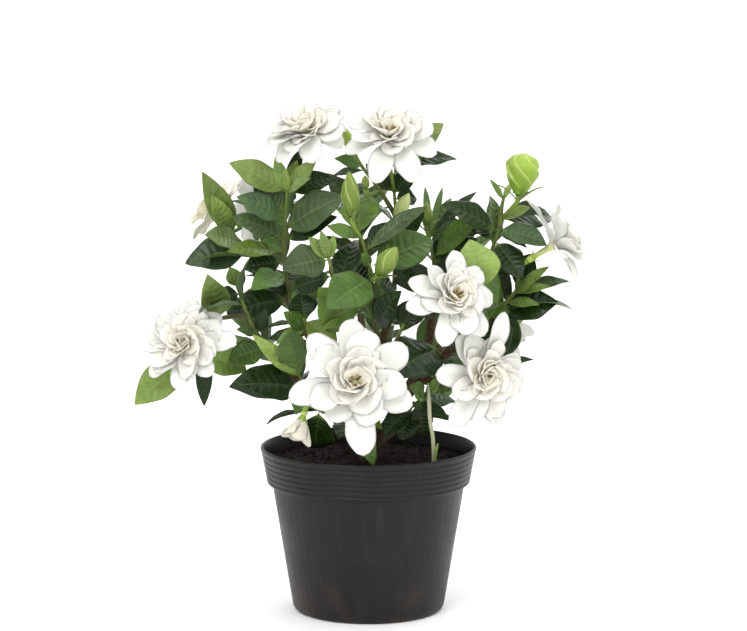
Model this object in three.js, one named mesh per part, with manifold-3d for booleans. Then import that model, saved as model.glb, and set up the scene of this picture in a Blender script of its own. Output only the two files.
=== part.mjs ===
// A gardenia in a black nursery pot: pot, soil, woody trunk, leafy stems, double white blooms,
// buds and a dried grass stalk. Millimetres, +Z up, the origin in the middle of the pot's underside.
// The front of the plant looks along -Y.
import * as THREE from 'three';
import { mergeGeometries, mergeVertices } from 'three/addons/utils/BufferGeometryUtils.js';
import Module from 'manifold-3d';

const wasm = await Module();
wasm.setup();

// Pot
const RIM_RADIUS = 90;
const POT_HEIGHT = 138;
const BAND_HEIGHT = 30.5;
const BAND_FOOT_RADIUS = 84.3;
const BODY_TOP_RADIUS = 80.2;
const BODY_FOOT_RADIUS = 63.7;
const FOOT_BEVEL = 6;
const POT_WALL = 2;
const POT_FLOOR = 3;
const RIM_LIP = 2.4;
const BAND_RIDGES = 2;
const RIDGE_DEPTH = 0.7;
const POT_SIDES = 24;
const DRAIN_HOLES = 6;
const DRAIN_RADIUS = 4.5;
const DRAIN_CIRCLE = 47;

// Soil
const SOIL_TOP = 126;
const SOIL_BUMP = 1.6;
const SOIL_RINGS = [0, 36, 70];
const GAP = 0.3;

// Trunk: the crown stands in a plain hole in the soil, and the main stems leave its top
const CROWN_RADIUS = 8;
const CROWN_DEPTH = 26;
const CROWN_TOP = 137;
const TRUNK_RADII = [4.2, 2.4];
const SHOOT_RADII = [2.2, 1.3];
const STALK_RADII = [1.3, 2.5];
const STEM_GAP = 0.5;
const STEM_SIDES = 4;
const TRUNK_STEP = 36;
const SHOOT_STEP = 28;
const SAMPLES_PER_STEP = 4;

// Leaves and petals
const LEAF_STALK = 0.1;
const LEAF_STALK_HALF = 0.85;
const LEAF_STATIONS = [0, 0.1, 0.3, 0.54, 0.79, 1];
const MIDDLE_STATIONS = [0, 0.13, 0.42, 0.76, 1];
const SMALL_STATIONS = [0, 0.3, 0.7, 1];
const BROAD_LEAF = 37;
const MIDDLE_LEAF = 27;
const SIMPLIFY_TOLERANCE = 0.03;
const LEAF_HALF_THICKNESS = 0.6;
const PETAL_STATIONS = [0, 0.15, 0.5, 0.82, 1];
const SIMPLE_PETAL_STATIONS = [0, 0.17, 0.64, 1];
const INNER_PETAL_STATIONS = [0, 0.4, 0.8, 1];
const PETAL_HALF_THICKNESS = 0.5;
const PETAL_LAP = 0.22;
const FULL_BLOOM = 39;

// What a leaf keeps clear of, in mm
const LEAF_CLEARANCE = 4.6;
const SISTER_CLEARANCE = 2.2;
const STEM_CLEARANCE = 4.6;
const PETAL_CLEARANCE = 4.6;
const POT_CLEARANCE = 3;

// The plant was laid out over its front view. A place is written as picture x and y, both in
// picture units of 0.83 mm, and the depth in mm behind the pot's axis.
const VIEW_EYE = new THREE.Vector3(4.2, -2400, 587);
const VIEW_PITCH = THREE.MathUtils.degToRad(8.06);
const VIEW_FOCAL = 2927;
const VIEW_CENTRE = [373.5, 315.5];
const VIEW_UNIT = 0.833;
// A leaf seen at a slant is a little wider than it looks
const FORESHORTENING = 1.08;

// Stem routes, each a list of [x, y, depth]. The first `woody` points belong to the trunk, and
// the rest to the leafy stem that grows on from there; `sides` are its side shoots.
// A leaf is [kind, tip x, tip y, tip depth, base x, base y, width, turn in degrees]: it is
// rooted where its stem passes closest to the base, and turn 0 faces up, 90 faces the front.
// `whorls` is [first, last, number, leaves in each] for leaves that follow a rule.
const BRANCHES = [
  {
    "name": "leafy_stem_left_low", "woody": 5,
    "route": [[368, 452, 0], [345, 425, -8], [310, 395, -18], [290, 377, -24], [272, 354, -30],
              [257, 333, -34], [247, 321, -34], [240, 300, -30], [236, 283, -28]],
    "sides": [[[247, 321, -34], [224, 317, -22], [212, 322, -14]]],
    "leaves": [["lime", 208, 276, -38, 224, 322, 27, 70], ["dark", 216, 298, -34, 240, 296, 17, 60],
               ["dark", 267, 308, -42, 257, 333, 12, 70], ["grey", 237, 329, -44, 256, 333, 10, 60],
               ["mid", 228, 362, -40, 268, 350, 26, 55], ["olive", 230, 267, -30, 237, 286, 14, 60],
               ["lime", 134, 404, -34, 200, 354, 34, 62], ["lime", 247, 370, -24, 206, 356, 30, 60],
               ["dark", 204, 407, -16, 212, 340, 15, 60]],
    "whorls": [0.8, 0.8, 1, 2]
  },
  {
    "name": "leafy_stem_left_front", "woody": 2,
    "route": [[310, 395, -18], [306, 390, -26], [303, 384, -34], [300, 377, -38]],
    "sides": [],
    "leaves": [["lime", 253, 335, -56, 301, 378, 15, 75], ["dark", 231, 385, -50, 303, 389, 38, 55],
               ["mid", 296, 414, -56, 303, 384, 15, 80]],
    "whorls": [0.9, 0.9, 1, 1]
  },
  {
    "name": "leafy_stem_upper_left", "woody": 4,
    "route": [[368, 452, 0], [352, 405, 4], [325, 362, 6], [304, 330, 4], [290, 303, 0], [284, 275, -6],
              [283, 250, -10], [285, 225, -14], [286, 204, -18], [287, 190, -20]],
    "sides": [],
    "leaves": [["lime", 230, 162, -30, 285, 191, 26, 60], ["grey", 343, 196, -48, 284, 226, 36, 60],
               ["dark", 334, 177, -10, 288, 192, 24, 50], ["grey", 238, 196, -40, 284, 224, 24, 60],
               ["grey", 254, 187, -22, 285, 212, 30, 60], ["grey", 233, 216, -26, 283, 236, 26, 50],
               ["olive", 228, 250, -30, 283, 248, 20, 45], ["mid", 264, 240, -34, 283, 252, 12, 60],
               ["dark", 243, 268, -18, 284, 262, 24, 60], ["mid", 252, 288, -36, 284, 270, 24, 60],
               ["dark", 227, 313, -16, 288, 298, 30, 55], ["lime", 275, 157, -28, 286, 194, 12, 75],
               ["lime", 285, 168, -36, 287, 190, 8, 75], ["pale", 309, 178, -44, 287, 192, 10, 60],
               ["lime", 316, 160, -30, 287, 190, 16, 60], ["lime", 297, 160, -12, 287, 190, 12, 70],
               ["dark", 336, 216, -30, 284, 246, 22, 60], ["dark", 301, 148, 2, 288, 192, 12, 70],
               ["dark", 300, 262, 24, 284, 282, 20, 50], ["dark", 262, 280, 6, 287, 296, 18, 60]],
    "whorls": [0.3, 0.7, 2, 1]
  },
  {
    "name": "leafy_stem_left_back", "woody": 3,
    "route": [[325, 362, 6], [300, 318, 28], [278, 285, 36], [258, 258, 34], [240, 243, 34], [228, 230, 36]],
    "sides": [],
    "leaves": [["grey", 185, 262, 24, 243, 253, 34, 55], ["lime", 203, 173, 22, 238, 236, 24, 75],
               ["lime", 212, 196, 12, 232, 234, 18, 70], ["pale", 206, 234, 6, 240, 243, 24, 60]],
    "whorls": [0.5, 0.5, 1, 2]
  },
  {
    "name": "leafy_stem_centre", "woody": 4,
    "route": [[368, 452, 0], [372, 410, -10], [376, 370, -18], [376, 335, -24], [374, 300, -36],
              [372, 275, -46], [366, 252, -50], [361, 236, -52]],
    "sides": [],
    "leaves": [["mid", 434, 239, -32, 373, 268, 40, 55], ["mid", 328, 307, -96, 373, 276, 40, 65],
               ["mid", 362, 253, -66, 370, 268, 9, 70], ["grey", 427, 205, -58, 366, 248, 16, 50],
               ["mid", 359, 185, -36, 361, 236, 36, 75], ["mid", 327, 225, -58, 361, 238, 12, 60],
               ["dark", 399, 292, -72, 376, 331, 26, 65],
               ["dark", 394, 222, -30, 363, 250, 20, 60], ["dark", 398, 298, -44, 374, 284, 18, 60],
               ["dark", 346, 262, -6, 373, 290, 22, 55]],
    "whorls": [0.2, 0.2, 1, 2]
  },
  {
    "name": "leafy_stem_centre_left", "woody": 2,
    "route": [[376, 370, -18], [352, 330, -42], [338, 295, -54], [331, 270, -60], [328, 256, -62]],
    "sides": [],
    "leaves": [["lime", 309, 237, -68, 328, 258, 12, 70], ["lime", 321, 231, -66, 328, 257, 10, 75],
               ["lime", 334, 235, -62, 329, 258, 8, 75], ["grey", 283, 268, -84, 329, 260, 33, 60],
               ["mid", 320, 289, -78, 351, 328, 42, 70], ["lime", 323, 328, -76, 348, 322, 9, 70],
               ["dark", 292, 290, -38, 334, 276, 24, 60]],
    "whorls": [0.5, 0.5, 1, 1]
  },
  {
    "name": "leafy_stem_mid_left", "woody": 2,
    "route": [[325, 362, 6], [316, 350, -14], [309, 340, -28], [306, 330, -36], [304, 318, -40]],
    "sides": [],
    "leaves": [["mid", 284, 312, -46, 304, 328, 15, 70], ["dark", 269, 338, -34, 307, 334, 14, 50],
               ["lime", 276, 343, -46, 306, 332, 12, 50], ["dark", 288, 352, -32, 309, 341, 13, 40],
               ["dark", 300, 292, -36, 304, 320, 26, 60], ["olive", 337, 345, -62, 305, 312, 24, 60]],
    "whorls": [0.9, 0.9, 1, 1]
  },
  {
    "name": "leafy_stem_top", "woody": 3,
    "route": [[376, 370, -18], [388, 330, 4], [394, 290, 10], [396, 250, 10], [397, 215, 8], [394, 190, 6]],
    "sides": [[[397, 215, 8], [380, 190, 2], [366, 172, -2]]],
    "leaves": [["dark", 366, 163, 10, 394, 192, 20, 50], ["dark", 412, 172, 2, 394, 192, 20, 50],
               ["dark", 426, 198, 2, 396, 202, 20, 50], ["lime", 444, 122, 18, 394, 170, 24, 65],
               ["dark", 458, 157, 24, 393, 168, 18, 45], ["mid", 427, 141, 14, 393, 172, 20, 60],
               ["grey", 331, 176, 8, 366, 172, 9, 40], ["mid", 335, 158, -6, 362, 166, 12, 60],
               ["dark", 424, 212, 2, 397, 236, 22, 55], ["dark", 416, 292, -8, 395, 258, 22, 60],
               ["dark", 436, 278, 4, 396, 262, 14, 50], ["dark", 374, 226, 26, 397, 250, 20, 55]],
    "whorls": [0.3, 0.65, 2, 1]
  },
  {
    "name": "leafy_stem_upper_right", "woody": 4,
    "route": [[368, 452, 0], [392, 415, 6], [425, 370, 10], [455, 325, 12], [478, 285, 8], [493, 250, 2],
              [499, 228, 0], [502, 216, 0]],
    "sides": [[[499, 228, 0], [501, 210, 8], [504, 196, 12]]],
    "leaves": [["dark", 443, 203, -16, 497, 232, 25, 50], ["lime", 542, 201, -20, 502, 221, 10, 60],
               ["dark", 554, 216, 2, 501, 222, 28, 55], ["grey", 546, 244, -30, 500, 230, 24, 55],
               ["grey", 527, 247, -18, 498, 236, 9, 45], ["dark", 522, 279, -26, 496, 241, 26, 55],
               ["lime", 490, 179, 6, 503, 200, 5, 60], ["lime", 512, 182, 14, 503, 200, 5, 60],
               ["mid", 487, 322, -28, 491, 262, 22, 70], ["dark", 510, 302, 4, 490, 262, 18, 65],
               ["dark", 470, 218, 22, 498, 240, 18, 50]],
    "whorls": [0.3, 0.65, 2, 1]
  },
  {
    "name": "leafy_stem_right", "woody": 3,
    "route": [[425, 370, 10], [462, 345, 4], [492, 318, -6], [511, 298, -14], [518, 288, -16]],
    "sides": [],
    "leaves": [["dark", 531, 253, -4, 516, 290, 22, 60], ["olive", 532, 256, -30, 514, 294, 9, 70],
               ["olive", 549, 266, -12, 516, 291, 9, 60], ["olive", 535, 279, -34, 513, 296, 12, 60],
               ["olive", 551, 286, -22, 513, 296, 9, 50], ["grey", 570, 280, -4, 516, 291, 12, 45],
               ["dark", 558, 301, -12, 504, 317, 31, 60], ["mid", 539, 304, -30, 506, 303, 10, 55],
               ["mid", 485, 316, -30, 508, 305, 20, 60], ["mid", 497, 282, -34, 498, 311, 11, 70],
               ["dark", 503, 362, -6, 506, 304, 30, 65]],
    "whorls": [0.5, 0.5, 1, 1]
  },
  {
    "name": "leafy_stem_mid_right", "woody": 3,
    "route": [[392, 415, 6], [420, 385, -16], [440, 350, -32], [450, 328, -40], [458, 312, -44]],
    "sides": [[[450, 328, -40], [472, 306, -46], [483, 291, -48]]],
    "leaves": [["lime", 470, 240, -62, 484, 291, 42, 75], ["dark", 387, 377, -66, 443, 346, 48, 55],
               ["dark", 446, 350, -20, 470, 306, 22, 60]],
    "whorls": [0.75, 0.75, 1, 1]
  },
  {
    "name": "leafy_stem_low_right", "woody": 2,
    "route": [[420, 385, -16], [442, 384, -26], [462, 378, -32], [474, 370, -36]],
    "sides": [],
    "leaves": [["dark", 513, 325, -30, 474, 370, 26, 65], ["dark", 534, 358, -28, 474, 370, 11, 50]],
    "whorls": [0.75, 0.75, 1, 1]
  },
  {
    "name": "leafy_stem_front", "woody": 2,
    "route": [[368, 452, 0], [362, 432, -20], [355, 418, -42], [352, 405, -62]],
    "sides": [[[355, 418, -42], [336, 414, -52], [322, 412, -58]]],
    "leaves": [["dark", 314, 450, -66, 325, 404, 34, 70], ["mid", 374, 466, -72, 354, 412, 18, 70],
               ["mid", 382, 428, -84, 353, 408, 14, 60]],
    "whorls": [0.5, 0.9, 1, 2]
  },
  {
    "name": "leafy_stem_centre_right", "woody": 2,
    "route": [[376, 370, -18], [388, 354, -38], [398, 340, -50], [404, 324, -56]],
    "sides": [],
    "leaves": [["dark", 417, 299, -60, 402, 330, 24, 60]],
    "whorls": [0.75, 0.75, 1, 1]
  },
  {
    "name": "leafy_stem_low_front", "woody": 2,
    "route": [[392, 415, 6], [404, 410, -22], [416, 404, -38], [427, 397, -44]],
    "sides": [],
    "leaves": [["mid", 410, 386, -64, 427, 397, 19, 60], ["lime", 441, 375, -60, 428, 397, 9, 70],
               ["dark", 449, 418, -54, 420, 401, 10, 50], ["dark", 402, 441, -44, 412, 406, 25, 60],
               ["dark", 384, 436, -56, 408, 408, 20, 60],
               ["dark", 424, 436, -34, 418, 402, 20, 60]],
    "whorls": [0.6, 0.9, 1, 2]
  },
  {
    "name": "leafy_stem_high_right", "woody": 3,
    "route": [[425, 370, 10], [432, 320, 30], [436, 280, 34], [433, 252, 30], [429, 236, 26]],
    "sides": [],
    "leaves": [["grey", 459, 219, 22, 431, 244, 9, 50], ["dark", 477, 190, 20, 430, 238, 10, 50],
               ["mid", 481, 214, 10, 434, 256, 22, 55], ["dark", 476, 238, 20, 435, 266, 26, 50],
               ["mid", 425, 184, 34, 430, 240, 6, 70], ["mid", 443, 185, 44, 430, 238, 6, 70],
               ["mid", 452, 196, 34, 430, 240, 9, 60], ["dark", 458, 282, 22, 434, 256, 22, 60]],
    "whorls": [0.5, 0.5, 1, 1]
  },
  {
    "name": "leafy_stem_back_left_high", "woody": 2,
    "route": [[325, 362, 6], [305, 325, 50], [290, 285, 80], [280, 250, 95], [276, 225, 100]],
    "sides": [], "leaves": [], "whorls": [0.25, 1, 5, 3]
  },
  {
    "name": "leafy_stem_back_left_low", "woody": 2,
    "route": [[368, 452, 0], [335, 420, 36], [300, 385, 66], [272, 355, 88], [255, 335, 98]],
    "sides": [], "leaves": [], "whorls": [0.3, 1, 5, 3]
  },
  {
    "name": "leafy_stem_back_high", "woody": 4,
    "route": [[368, 452, 0], [366, 400, 30], [362, 345, 62], [360, 290, 84], [360, 240, 94], [361, 215, 98]],
    "sides": [], "leaves": [], "whorls": [0.18, 1, 4, 3]
  },
  {
    "name": "leafy_stem_back_low", "woody": 2,
    "route": [[366, 400, 30], [370, 380, 72], [374, 355, 104], [376, 335, 120]],
    "sides": [], "leaves": [], "whorls": [0.2, 1, 3, 3]
  },
  {
    "name": "leafy_stem_back_right_high", "woody": 2,
    "route": [[392, 415, 6], [420, 365, 44], [445, 310, 74], [458, 265, 88], [463, 240, 92]],
    "sides": [], "leaves": [], "whorls": [0.25, 1, 5, 3]
  },
  {
    "name": "leafy_stem_back_right_low", "woody": 2,
    "route": [[368, 452, 0], [400, 425, 38], [435, 392, 66], [465, 362, 88], [482, 342, 98]],
    "sides": [], "leaves": [], "whorls": [0.3, 1, 5, 3]
  }
];

// Blooms: the throat's place, the way the bloom faces, the tube behind the throat in mm, the
// outer petals' length in mm and each outer petal as [clock angle in degrees, length share].
const BLOOMS = [
  {"name": "bloom_top_left", "stem": "leafy_stem_upper_left", "root": [286, 200], "throat": [307, 134, -10],
   "facing": [-0.15, -0.42, 0.9], "tube": 18, "size": 39, "reflex": -40,
   "petals": [[0, 0.9], [55, 0.85], [108, 0.9], [155, 1], [200, 1], [250, 1], [305, 0.95]]},
  {"name": "bloom_top_right", "stem": "leafy_stem_top", "root": [394, 190], "throat": [390, 138, -20],
   "facing": [0.04, -0.66, 0.75], "tube": 18, "size": 42, "reflex": -26,
   "petals": [[3, 0.92], [60, 0.9], [115, 0.95], [160, 1.2], [196, 1.2], [248, 0.94], [300, 0.84]]},
  {"name": "bloom_left_back", "stem": "leafy_stem_left_back", "root": [228, 230], "throat": [222, 211, 48],
   "facing": [-0.75, 0.15, 0.6], "tube": 16, "size": 33, "reflex": -10,
   "petals": [[0, 1], [52, 1], [104, 1], [156, 1], [208, 1], [260, 1], [310, 1]]},
  {"name": "bloom_left", "stem": "leafy_stem_left_low", "root": [212, 322], "throat": [187, 345, -44],
   "facing": [-0.28, -0.85, 0.42], "tube": 18, "size": 38, "reflex": -8,
   "petals": [[0, 1], [47, 0.95], [84, 1.15], [133, 0.95], [180, 1], [222, 1], [268, 1], [317, 1]]},
  {"name": "bloom_front", "stem": "leafy_stem_front", "root": [352, 405], "throat": [355, 383, -108],
   "facing": [0.05, -0.93, 0.36], "tube": 24, "size": 49, "reflex": -6,
   "petals": [[358, 1.02], [57, 1], [115, 0.98], [175, 1.22], [212, 0.74], [256, 1.1], [316, 1.05]]},
  {"name": "bloom_mid_right", "stem": "leafy_stem_mid_right", "root": [458, 312], "throat": [452, 298, -80],
   "facing": [0.4, -0.82, 0.4], "tube": 20, "size": 40, "reflex": -6,
   "petals": [[14, 0.95], [54, 0.86], [96, 0.84], [150, 0.96], [206, 1.1], [260, 1.12], [290, 1]]},
  {"name": "bloom_low_right", "stem": "leafy_stem_low_right", "root": [474, 370], "throat": [482, 376, -66],
   "facing": [0.42, -0.9, 0.02], "tube": 16, "size": 40, "reflex": -4,
   "petals": [[18, 1.35], [68, 0.85], [116, 0.85], [165, 1], [220, 1.22], [276, 1.1], [324, 1.05]]},
  {"name": "bloom_right", "stem": "leafy_stem_right", "root": [518, 288], "throat": [552, 246, -20],
   "facing": [0.82, -0.02, 0.5], "tube": 24, "size": 39, "reflex": -14,
   "petals": [[0, 1.05], [50, 0.95], [105, 0.95], [175, 1.05], [215, 1], [262, 0.9], [318, 1]]},
  {"name": "bloom_spent", "stem": "leafy_stem_front", "root": [322, 412], "throat": [302, 420, -68],
   "facing": [-0.3, -0.25, -0.92], "tube": 8, "size": 21, "reflex": 52,
   "petals": [[0, 0.9], [60, 1], [120, 1.1], [180, 1.1], [240, 1], [300, 1]]},
  {"name": "bloom_back_left", "stem": "leafy_stem_back_left_high", "root": [276, 225],
   "throat": [270, 208, 126],
   "facing": [-0.35, 0.82, 0.45], "tube": 16, "size": 37, "reflex": -8,
   "petals": [[0, 1], [52, 1.05], [104, 1], [156, 1.05], [208, 1], [260, 1.05], [310, 1]]},
  {"name": "bloom_back_right", "stem": "leafy_stem_back_right_low", "root": [482, 342],
   "throat": [490, 328, 124],
   "facing": [0.4, 0.85, 0.3], "tube": 18, "size": 37, "reflex": -8,
   "petals": [[5, 1], [57, 1.1], [109, 1], [161, 1.05], [213, 1], [265, 1.05], [315, 1]]}
];

// Buds: base and tip as [x, y, depth] and the fullest radius in mm
const BUDS = [
  {"name": "bud_top_left", "stem": "leafy_stem_top", "root": [366, 172], "base": [354, 153, 6],
   "tip": [341, 124, 10], "radius": 5},
  {"name": "bud_centre_tall", "stem": "leafy_stem_centre", "root": [361, 236], "base": [352, 217, -56],
   "tip": [349, 171, -60], "radius": 7.8},
  {"name": "bud_top_pale", "stem": "leafy_stem_top", "root": [396, 222], "base": [396, 219, -6],
   "tip": [409, 193, -12], "radius": 6},
  {"name": "bud_centre_round", "stem": "leafy_stem_centre", "root": [372, 276], "base": [378, 275, -60],
   "tip": [397, 247, -68], "radius": 8.6},
  {"name": "bud_right_opening", "stem": "leafy_stem_upper_right", "root": [502, 216], "base": [519, 195, -6],
   "tip": [525, 153, -10], "radius": 14.4},
  {"name": "bud_high_right", "stem": "leafy_stem_high_right", "root": [429, 236], "base": [427, 226, 24],
   "tip": [426, 202, 22], "radius": 5.6},
  {"name": "bud_small", "stem": "leafy_stem_top", "root": [380, 190], "base": [366, 190, -8],
   "tip": [365, 175, -12], "radius": 3.6},
  {"name": "bud_back_right", "stem": "leafy_stem_back_right_high", "root": [463, 240], "base": [464, 230, 96],
   "tip": [467, 204, 100], "radius": 6},
  {"name": "bud_back_left", "stem": "leafy_stem_back_left_low", "root": [255, 335], "base": [247, 326, 104],
   "tip": [238, 306, 110], "radius": 5.5}
];

const DRY_GRASS = [[434, 461, -48], [433, 440, -50], [430, 420, -52], [429, 400, -52], [428, 382, -50]];
const DRY_GRASS_WIDTH = 3.2;
const GREEN_BLADE = [[434, 461, -48], [436, 452, -52], [438, 443, -56]];
const GRASS_ROOT_RADIUS = 1.8;
const GRASS_ROOT_DEPTH = 6;

const MATERIALS = {
  pot: { color: 0x2b2c2e, roughness: 0.5, metalness: 0 },
  soil: { color: 0x2a1c12, roughness: 1, metalness: 0 },
  bark: { color: 0x3a2e1f, roughness: 0.85, metalness: 0 },
  leaf: { color: 0x2f5a26, roughness: 0.4, metalness: 0 },
  petal: { color: 0xf4f2ea, roughness: 0.6, metalness: 0 },
  spent: { color: 0xd9cfbf, roughness: 0.7, metalness: 0 },
  bud: { color: 0x9cbb4a, roughness: 0.5, metalness: 0 },
  grass: { color: 0xcfc9a8, roughness: 0.8, metalness: 0 },
};

const UP = new THREE.Vector3(0, 0, 1);
const TO_VIEWER = new THREE.Vector3(0, -1, 0);
const VIEW_RIGHT = new THREE.Vector3(1, 0, 0);
const VIEW_FORWARD = new THREE.Vector3(0, Math.cos(VIEW_PITCH), -Math.sin(VIEW_PITCH));
const VIEW_UPWARD = new THREE.Vector3(0, Math.sin(VIEW_PITCH), Math.cos(VIEW_PITCH));

// The point in mm that stands at a picture place, at a depth behind the pot's axis
function seen([x, y, depth]) {
  const ray = VIEW_FORWARD.clone().multiplyScalar(VIEW_FOCAL);
  ray.addScaledVector(VIEW_RIGHT, x - VIEW_CENTRE[0]);
  ray.addScaledVector(VIEW_UPWARD, VIEW_CENTRE[1] - y);
  return VIEW_EYE.clone().addScaledVector(ray, (depth - VIEW_EYE.y) / ray.y);
}

// The picture place of a point in mm
function pictured(point) {
  const ray = point.clone().sub(VIEW_EYE);
  const scale = VIEW_FOCAL / ray.dot(VIEW_FORWARD);
  return [VIEW_CENTRE[0] + ray.dot(VIEW_RIGHT) * scale, VIEW_CENTRE[1] - ray.dot(VIEW_UPWARD) * scale];
}

// Random numbers from 0 to 1 that are the same in every run
let seed = 20011;
function chance() {
  seed = (seed * 16807) % 2147483647;
  return seed / 2147483647;
}

// Solids

// Six times the volume inside a closed triangle mesh
function signedVolume(positions, triangles) {
  const [a, b, c] = [new THREE.Vector3(), new THREE.Vector3(), new THREE.Vector3()];
  let sum = 0;
  for (let i = 0; i < triangles.length; i += 3) {
    a.fromArray(positions, triangles[i] * 3);
    b.fromArray(positions, triangles[i + 1] * 3);
    c.fromArray(positions, triangles[i + 2] * 3);
    sum += a.dot(b.cross(c));
  }
  return sum;
}

// A closed geometry as a solid, without collapsed triangles and with its faces outwards
function solid(geometry) {
  const bare = geometry.clone();
  bare.deleteAttribute('normal');
  bare.deleteAttribute('uv');
  const merged = mergeVertices(bare, 1e-3);
  const positions = merged.attributes.position.array;
  const kept = [];
  for (let i = 0; i < merged.index.count; i += 3) {
    const [a, b, c] = merged.index.array.slice(i, i + 3);
    if (a !== b && b !== c && c !== a) kept.push(a, b, c);
  }
  if (signedVolume(positions, kept) < 0) kept.reverse();
  const triVerts = new Uint32Array(kept);
  return new wasm.Manifold(new wasm.Mesh({ numProp: 3, vertProperties: positions, triVerts }));
}

function joined(solids) {
  return wasm.Manifold.union(solids);
}

// The node's mesh: flat faces, its own material
function node(name, shape, look) {
  const { vertProperties, triVerts } = shape.simplify(SIMPLIFY_TOLERANCE).getMesh();
  const geometry = new THREE.BufferGeometry();
  geometry.setAttribute('position', new THREE.BufferAttribute(new Float32Array(vertProperties), 3));
  geometry.setIndex(new THREE.BufferAttribute(new Uint32Array(triVerts), 1));
  geometry.computeVertexNormals();
  const mesh = new THREE.Mesh(geometry, new THREE.MeshStandardMaterial(MATERIALS[look]));
  mesh.name = name;
  return mesh;
}

// A turned solid from [radius, height] points that start and end on the axis
function turned(profile, sides) {
  const points = profile.map(([radius, height]) => new THREE.Vector2(radius, height));
  return new THREE.LatheGeometry(points, sides).rotateX(Math.PI / 2);
}

// A turned solid stood at a place, with its +Z along a direction
function turnedAlong(profile, sides, place, direction) {
  const geometry = turned(profile, sides);
  geometry.applyQuaternion(new THREE.Quaternion().setFromUnitVectors(UP, direction));
  return geometry.translate(place.x, place.y, place.z);
}

// A smooth curve through a route's points, walked from point to point and not by arc length
class Route extends THREE.CatmullRomCurve3 {
  constructor(points) {
    super(points, false, 'catmullrom', 0.5);
  }

  getPointAt(share, target) {
    return this.getPoint(share, target);
  }

  getTangentAt(share, target) {
    return this.getTangent(share, target);
  }
}

// How many straight lengths of about `step` mm a route's stem has
function stepCount(points, step) {
  let length = 0;
  for (let i = 1; i < points.length; i += 1) length += points[i].distanceTo(points[i - 1]);
  return Math.max(2, Math.round(length / step));
}

// A tube along a route that tapers from its first radius to its last
function stemSolid(points, [first, last], step) {
  const section = new THREE.Shape(Array.from({ length: STEM_SIDES }, (_, i) => (
    new THREE.Vector2(first, 0).rotateAround(new THREE.Vector2(), (2 * Math.PI * i) / STEM_SIDES))));
  const curve = new Route(points);
  const steps = stepCount(points, step);
  const tube = new THREE.ExtrudeGeometry(section, { steps, extrudePath: curve, bevelEnabled: false });
  const rings = curve.getSpacedPoints(steps);
  const place = tube.attributes.position;
  const point = new THREE.Vector3();
  for (let i = 0; i < place.count; i += 1) {
    point.fromBufferAttribute(place, i);
    const nearest = nearestIndex(rings, (ring) => ring.distanceToSquared(point));
    const radius = THREE.MathUtils.lerp(first, last, nearest / steps);
    point.sub(rings[nearest]).multiplyScalar(radius / first).add(rings[nearest]);
    place.setXYZ(i, point.x, point.y, point.z);
  }
  return solid(tube);
}

function nearestIndex(list, distance) {
  let best = 0;
  for (let i = 1; i < list.length; i += 1) {
    if (distance(list[i]) < distance(list[best])) best = i;
  }
  return best;
}

// A thin closed sheet. place(u, s, face) gives the point at u along and s across (-1 to 1) on
// the upper face (1) or the lower (-1); both faces are split into the same triangles.
function sheet(stations, place) {
  const faces = [1, -1].map((face) => {
    const grid = new THREE.PlaneGeometry(2, 1, 2, stations.length - 1);
    const position = grid.attributes.position;
    for (let i = 0; i < position.count; i += 1) {
      const point = place(stations[Math.floor(i / 3)], Math.round(position.getX(i)), face);
      position.setXYZ(i, point.x, point.y, point.z);
    }
    if (face < 0) grid.setIndex([...grid.index.array].reverse());
    return grid;
  });
  return mergeGeometries(faces);
}

// Leaves

const LEAF_KINDS = {
  dark: { arch: 0.056, fold: 0.18, wave: 0.05 },
  mid: { arch: 0.049, fold: 0.18, wave: 0.05 },
  grey: { arch: 0.063, fold: 0.16, wave: 0.06 },
  olive: { arch: 0.042, fold: 0.2, wave: 0.04 },
  lime: { arch: 0.056, fold: 0.24, wave: 0.04 },
  pale: { arch: 0.042, fold: 0.2, wave: 0.05 },
};

// The blade's half width, as a share of its widest, at v from the stalk to the tip
function leafOutline(v) {
  return Math.sin(Math.PI * v ** 0.92) ** 0.85;
}

// A leaf's frame from its base, tip and the way its blade faces
function leafBetween(base, tip, facing, width, kind, phase) {
  const along = tip.clone().sub(base);
  const length = along.length();
  along.normalize();
  const normal = facing.clone().addScaledVector(along, -facing.dot(along)).normalize();
  const side = normal.clone().cross(along);
  return { base, along, normal, side, length, width, kind, phase };
}

// The point of a leaf at u along, s across, and so far above its middle surface
function leafPoint(leaf, u, s, above) {
  const { arch, fold, wave } = LEAF_KINDS[leaf.kind];
  const v = Math.min(Math.max((u - LEAF_STALK) / (1 - LEAF_STALK), 0), 1);
  const blade = (leaf.width / 2) * (v > 0 && v < 1 ? leafOutline(v) : 0);
  const stalk = LEAF_STALK_HALF * Math.min(u / LEAF_STALK, 1) * (1 - v);
  const half = blade + stalk;
  const ripple = wave * leaf.width * Math.sin(9 * v + leaf.phase + 2 * s) * s * s * Math.sin(Math.PI * v);
  const rise = arch * leaf.length * Math.sin(Math.PI * u) + fold * Math.abs(s) * blade + ripple + above;
  return leaf.base.clone().addScaledVector(leaf.along, u * leaf.length)
    .addScaledVector(leaf.side, s * half).addScaledVector(leaf.normal, rise);
}

// Broad leaves have more stations than narrow ones
function leafStations(leaf) {
  if (leaf.width > BROAD_LEAF) return LEAF_STATIONS;
  return leaf.width > MIDDLE_LEAF ? MIDDLE_STATIONS : SMALL_STATIONS;
}

function leafSolid(leaf) {
  const stations = leafStations(leaf);
  return solid(sheet(stations, (u, s, face) => {
    const inside = s === 0 && u > 0 && u < 1 ? LEAF_HALF_THICKNESS : 0;
    return leafPoint(leaf, u, s, face * inside);
  }));
}

// Clearances: every stem, petal and leaf leaves points behind, and a new leaf keeps off them

const TEST_ALONG = [0.22, 0.36, 0.5, 0.64, 0.78, 0.9, 1];
const TEST_ACROSS = [-1, -0.5, 0, 0.5, 1];
const obstacles = [];

function addObstacle(owner, points, clearance, leafy) {
  const box = new THREE.Box3().setFromPoints(points);
  obstacles.push({ owner, points, clearance, leafy, box });
}

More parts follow.
